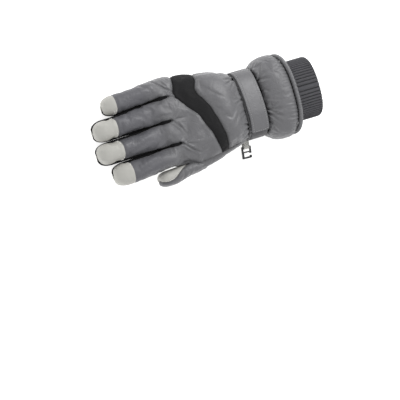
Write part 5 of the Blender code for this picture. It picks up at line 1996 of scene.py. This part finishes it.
# %% [markdown]
# ## Bodies, finishes and what each piece stands for
# A piece that lies on one moving body rides on it. A cloth that crosses a joint rides on no body: its place
# is only baked into its mesh. If it rode on one body alone, a gap would open at the joint. The padding and
# the linings inside a closed tube can't be seen, so the cloth around them stands for them.

# %% Bodies
FINGER_BEND = 22
THUMB_BEND = (100, 122)
CUFF_BEND = (-0.4, -15)


def bend_piece(piece, body, first, last):
    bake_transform(PIECES[piece])


def dress(piece, slot, finish=None, replaced=()):
    obj = PIECES[piece]
    obj.data.materials.clear()
    obj.data.materials.append(MATERIALS[finish or slot])
    if replaced:
        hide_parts(*replaced)


RIDES = {
    "hand": ["back_front_panel", "thumb_side_cloth", "rear_panel_cloth", "stripe_cloth", "palm_leather",
             "grip_patch", "wrist_band_cloth", "strap_anchor_cloth", "loop_tape", "webbing_tape",
             "hand_lining_fleece", "index_middle_web", "middle_ring_web", "ring_little_web"],
    "cuff": ["rolled_hem", "ribbed_cuff"],
    "strap": ["wrist_strap", "hook_tape", "strap_stitches"],
    "clip": ["clip"],
}
for body, pieces in RIDES.items():
    for piece in pieces:
        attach(PIECES[piece], body)

for name, finger in FINGERS.items():
    left, right = finger["sides"]
    start = max(CROTCH_Y[left], CROTCH_Y[right])
    body = f"{name}_finger"
    crossing = [f"{name}_cloth", f"{name}_palm_leather"]
    for side in ("outward", "thumbward"):
        piece = f"{name}_{side}_knit"
        if piece in PIECES:
            crossing.append(piece)
            dress(piece, "side_knit", replaced=[f"{name}_{side}_wall"])
    for piece in crossing:
        bend_piece(piece, body, start, start + FINGER_BEND)
    for piece in (f"{name}_cap", f"{name}_cap_stitches"):
        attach(PIECES[piece], body)
    dress(f"{name}_cloth", "shell_nylon", "finger_nylon_shaded_tips",
          [f"{name}_back", f"{name}_insulation", f"{name}_lining"])
    dress(f"{name}_cap", "pale_leather", replaced=[f"{name}_tip"])
    dress(f"{name}_palm_leather", "pale_leather", replaced=[f"{name}_palm"])
    dress(f"{name}_cap_stitches", "pale_leather", "light_thread")
for piece in ("thumb_cloth", "thumb_leather", "thumb_stitches"):
    bend_piece(piece, "thumb", *THUMB_BEND)
for piece in ("cuff_cloth", "cuff_lining_fleece"):
    bend_piece(piece, "cuff", *CUFF_BEND)
print(len(PIECES), "pieces,", sum(len(pieces) for pieces in RIDES.values()), "of them listed with a body")

# %% [markdown]
# ## Finishes
# Each piece gets its fabric, and the imported solids it stands for are hidden. Materials could be given when
# each piece is made, but in one list it is easy to see that no solid is forgotten.

# %% Finishes
dress("back_front_panel", "shell_nylon", replaced=["front_back_panel", "back_insulation"])
dress("thumb_side_cloth", "shell_nylon", replaced=["thumb_side_panel"])
dress("rear_panel_cloth", "shell_nylon", replaced=["rear_back_panel"])
dress("stripe_cloth", "stripe_softshell", replaced=["knuckle_stripe"])
dress("palm_leather", "pale_leather", replaced=["palm_panel", "palm_insulation"])
dress("grip_patch", "grip_rubber", replaced=["palm_patch"])
dress("wrist_band_cloth", "shell_nylon", replaced=["wrist_band", "wrist_elastic"])
dress("strap_anchor_cloth", "shell_nylon", "binding", replaced=["strap_anchor"])
dress("wrist_strap", "shell_nylon", "binding", replaced=["strap"])
dress("strap_stitches", "shell_nylon", "grey_thread")
dress("loop_tape", "fastener_tape", "loop_pile", replaced=["loop_patch"])
dress("hook_tape", "fastener_tape", replaced=["hook_patch"])
dress("webbing_tape", "webbing", replaced=["webbing_loop"])
dress("clip", "clip_plastic", replaced=["clip_hook"])
dress("thumb_cloth", "shell_nylon", "finger_nylon_shaded_tips",
      replaced=["thumb_back", "thumb_insulation", "thumb_lining"])
dress("thumb_leather", "pale_leather", replaced=["thumb_palm"])
dress("thumb_stitches", "pale_leather", "light_thread")
dress("cuff_cloth", "shell_nylon", replaced=["cuff_shell", "cuff_insulation"])
dress("rolled_hem", "binding", replaced=["hem_binding"])
dress("ribbed_cuff", "rib_knit", replaced=["knit_cuff"])
dress("hand_lining_fleece", "fleece", replaced=["hand_lining"])
dress("cuff_lining_fleece", "fleece", replaced=["cuff_lining"])
for web in ("index_middle_web", "middle_ring_web", "ring_little_web"):
    dress(web, "side_knit")
print("undressed pieces:", [name for name, obj in PIECES.items() if not obj.data.materials])

# %% [markdown]
# ## Size
# The looks may stand a little outside the imported model, because padding puffs up. The two boxes are measured
# and written down side by side, so that the difference can be read off in millimetres.

# %% Size
visual_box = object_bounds()
for label, box in (("model", cad_box), ("looks", visual_box)):
    print(label, [[round(v / MM, 1) for v in corner] for corner in box])
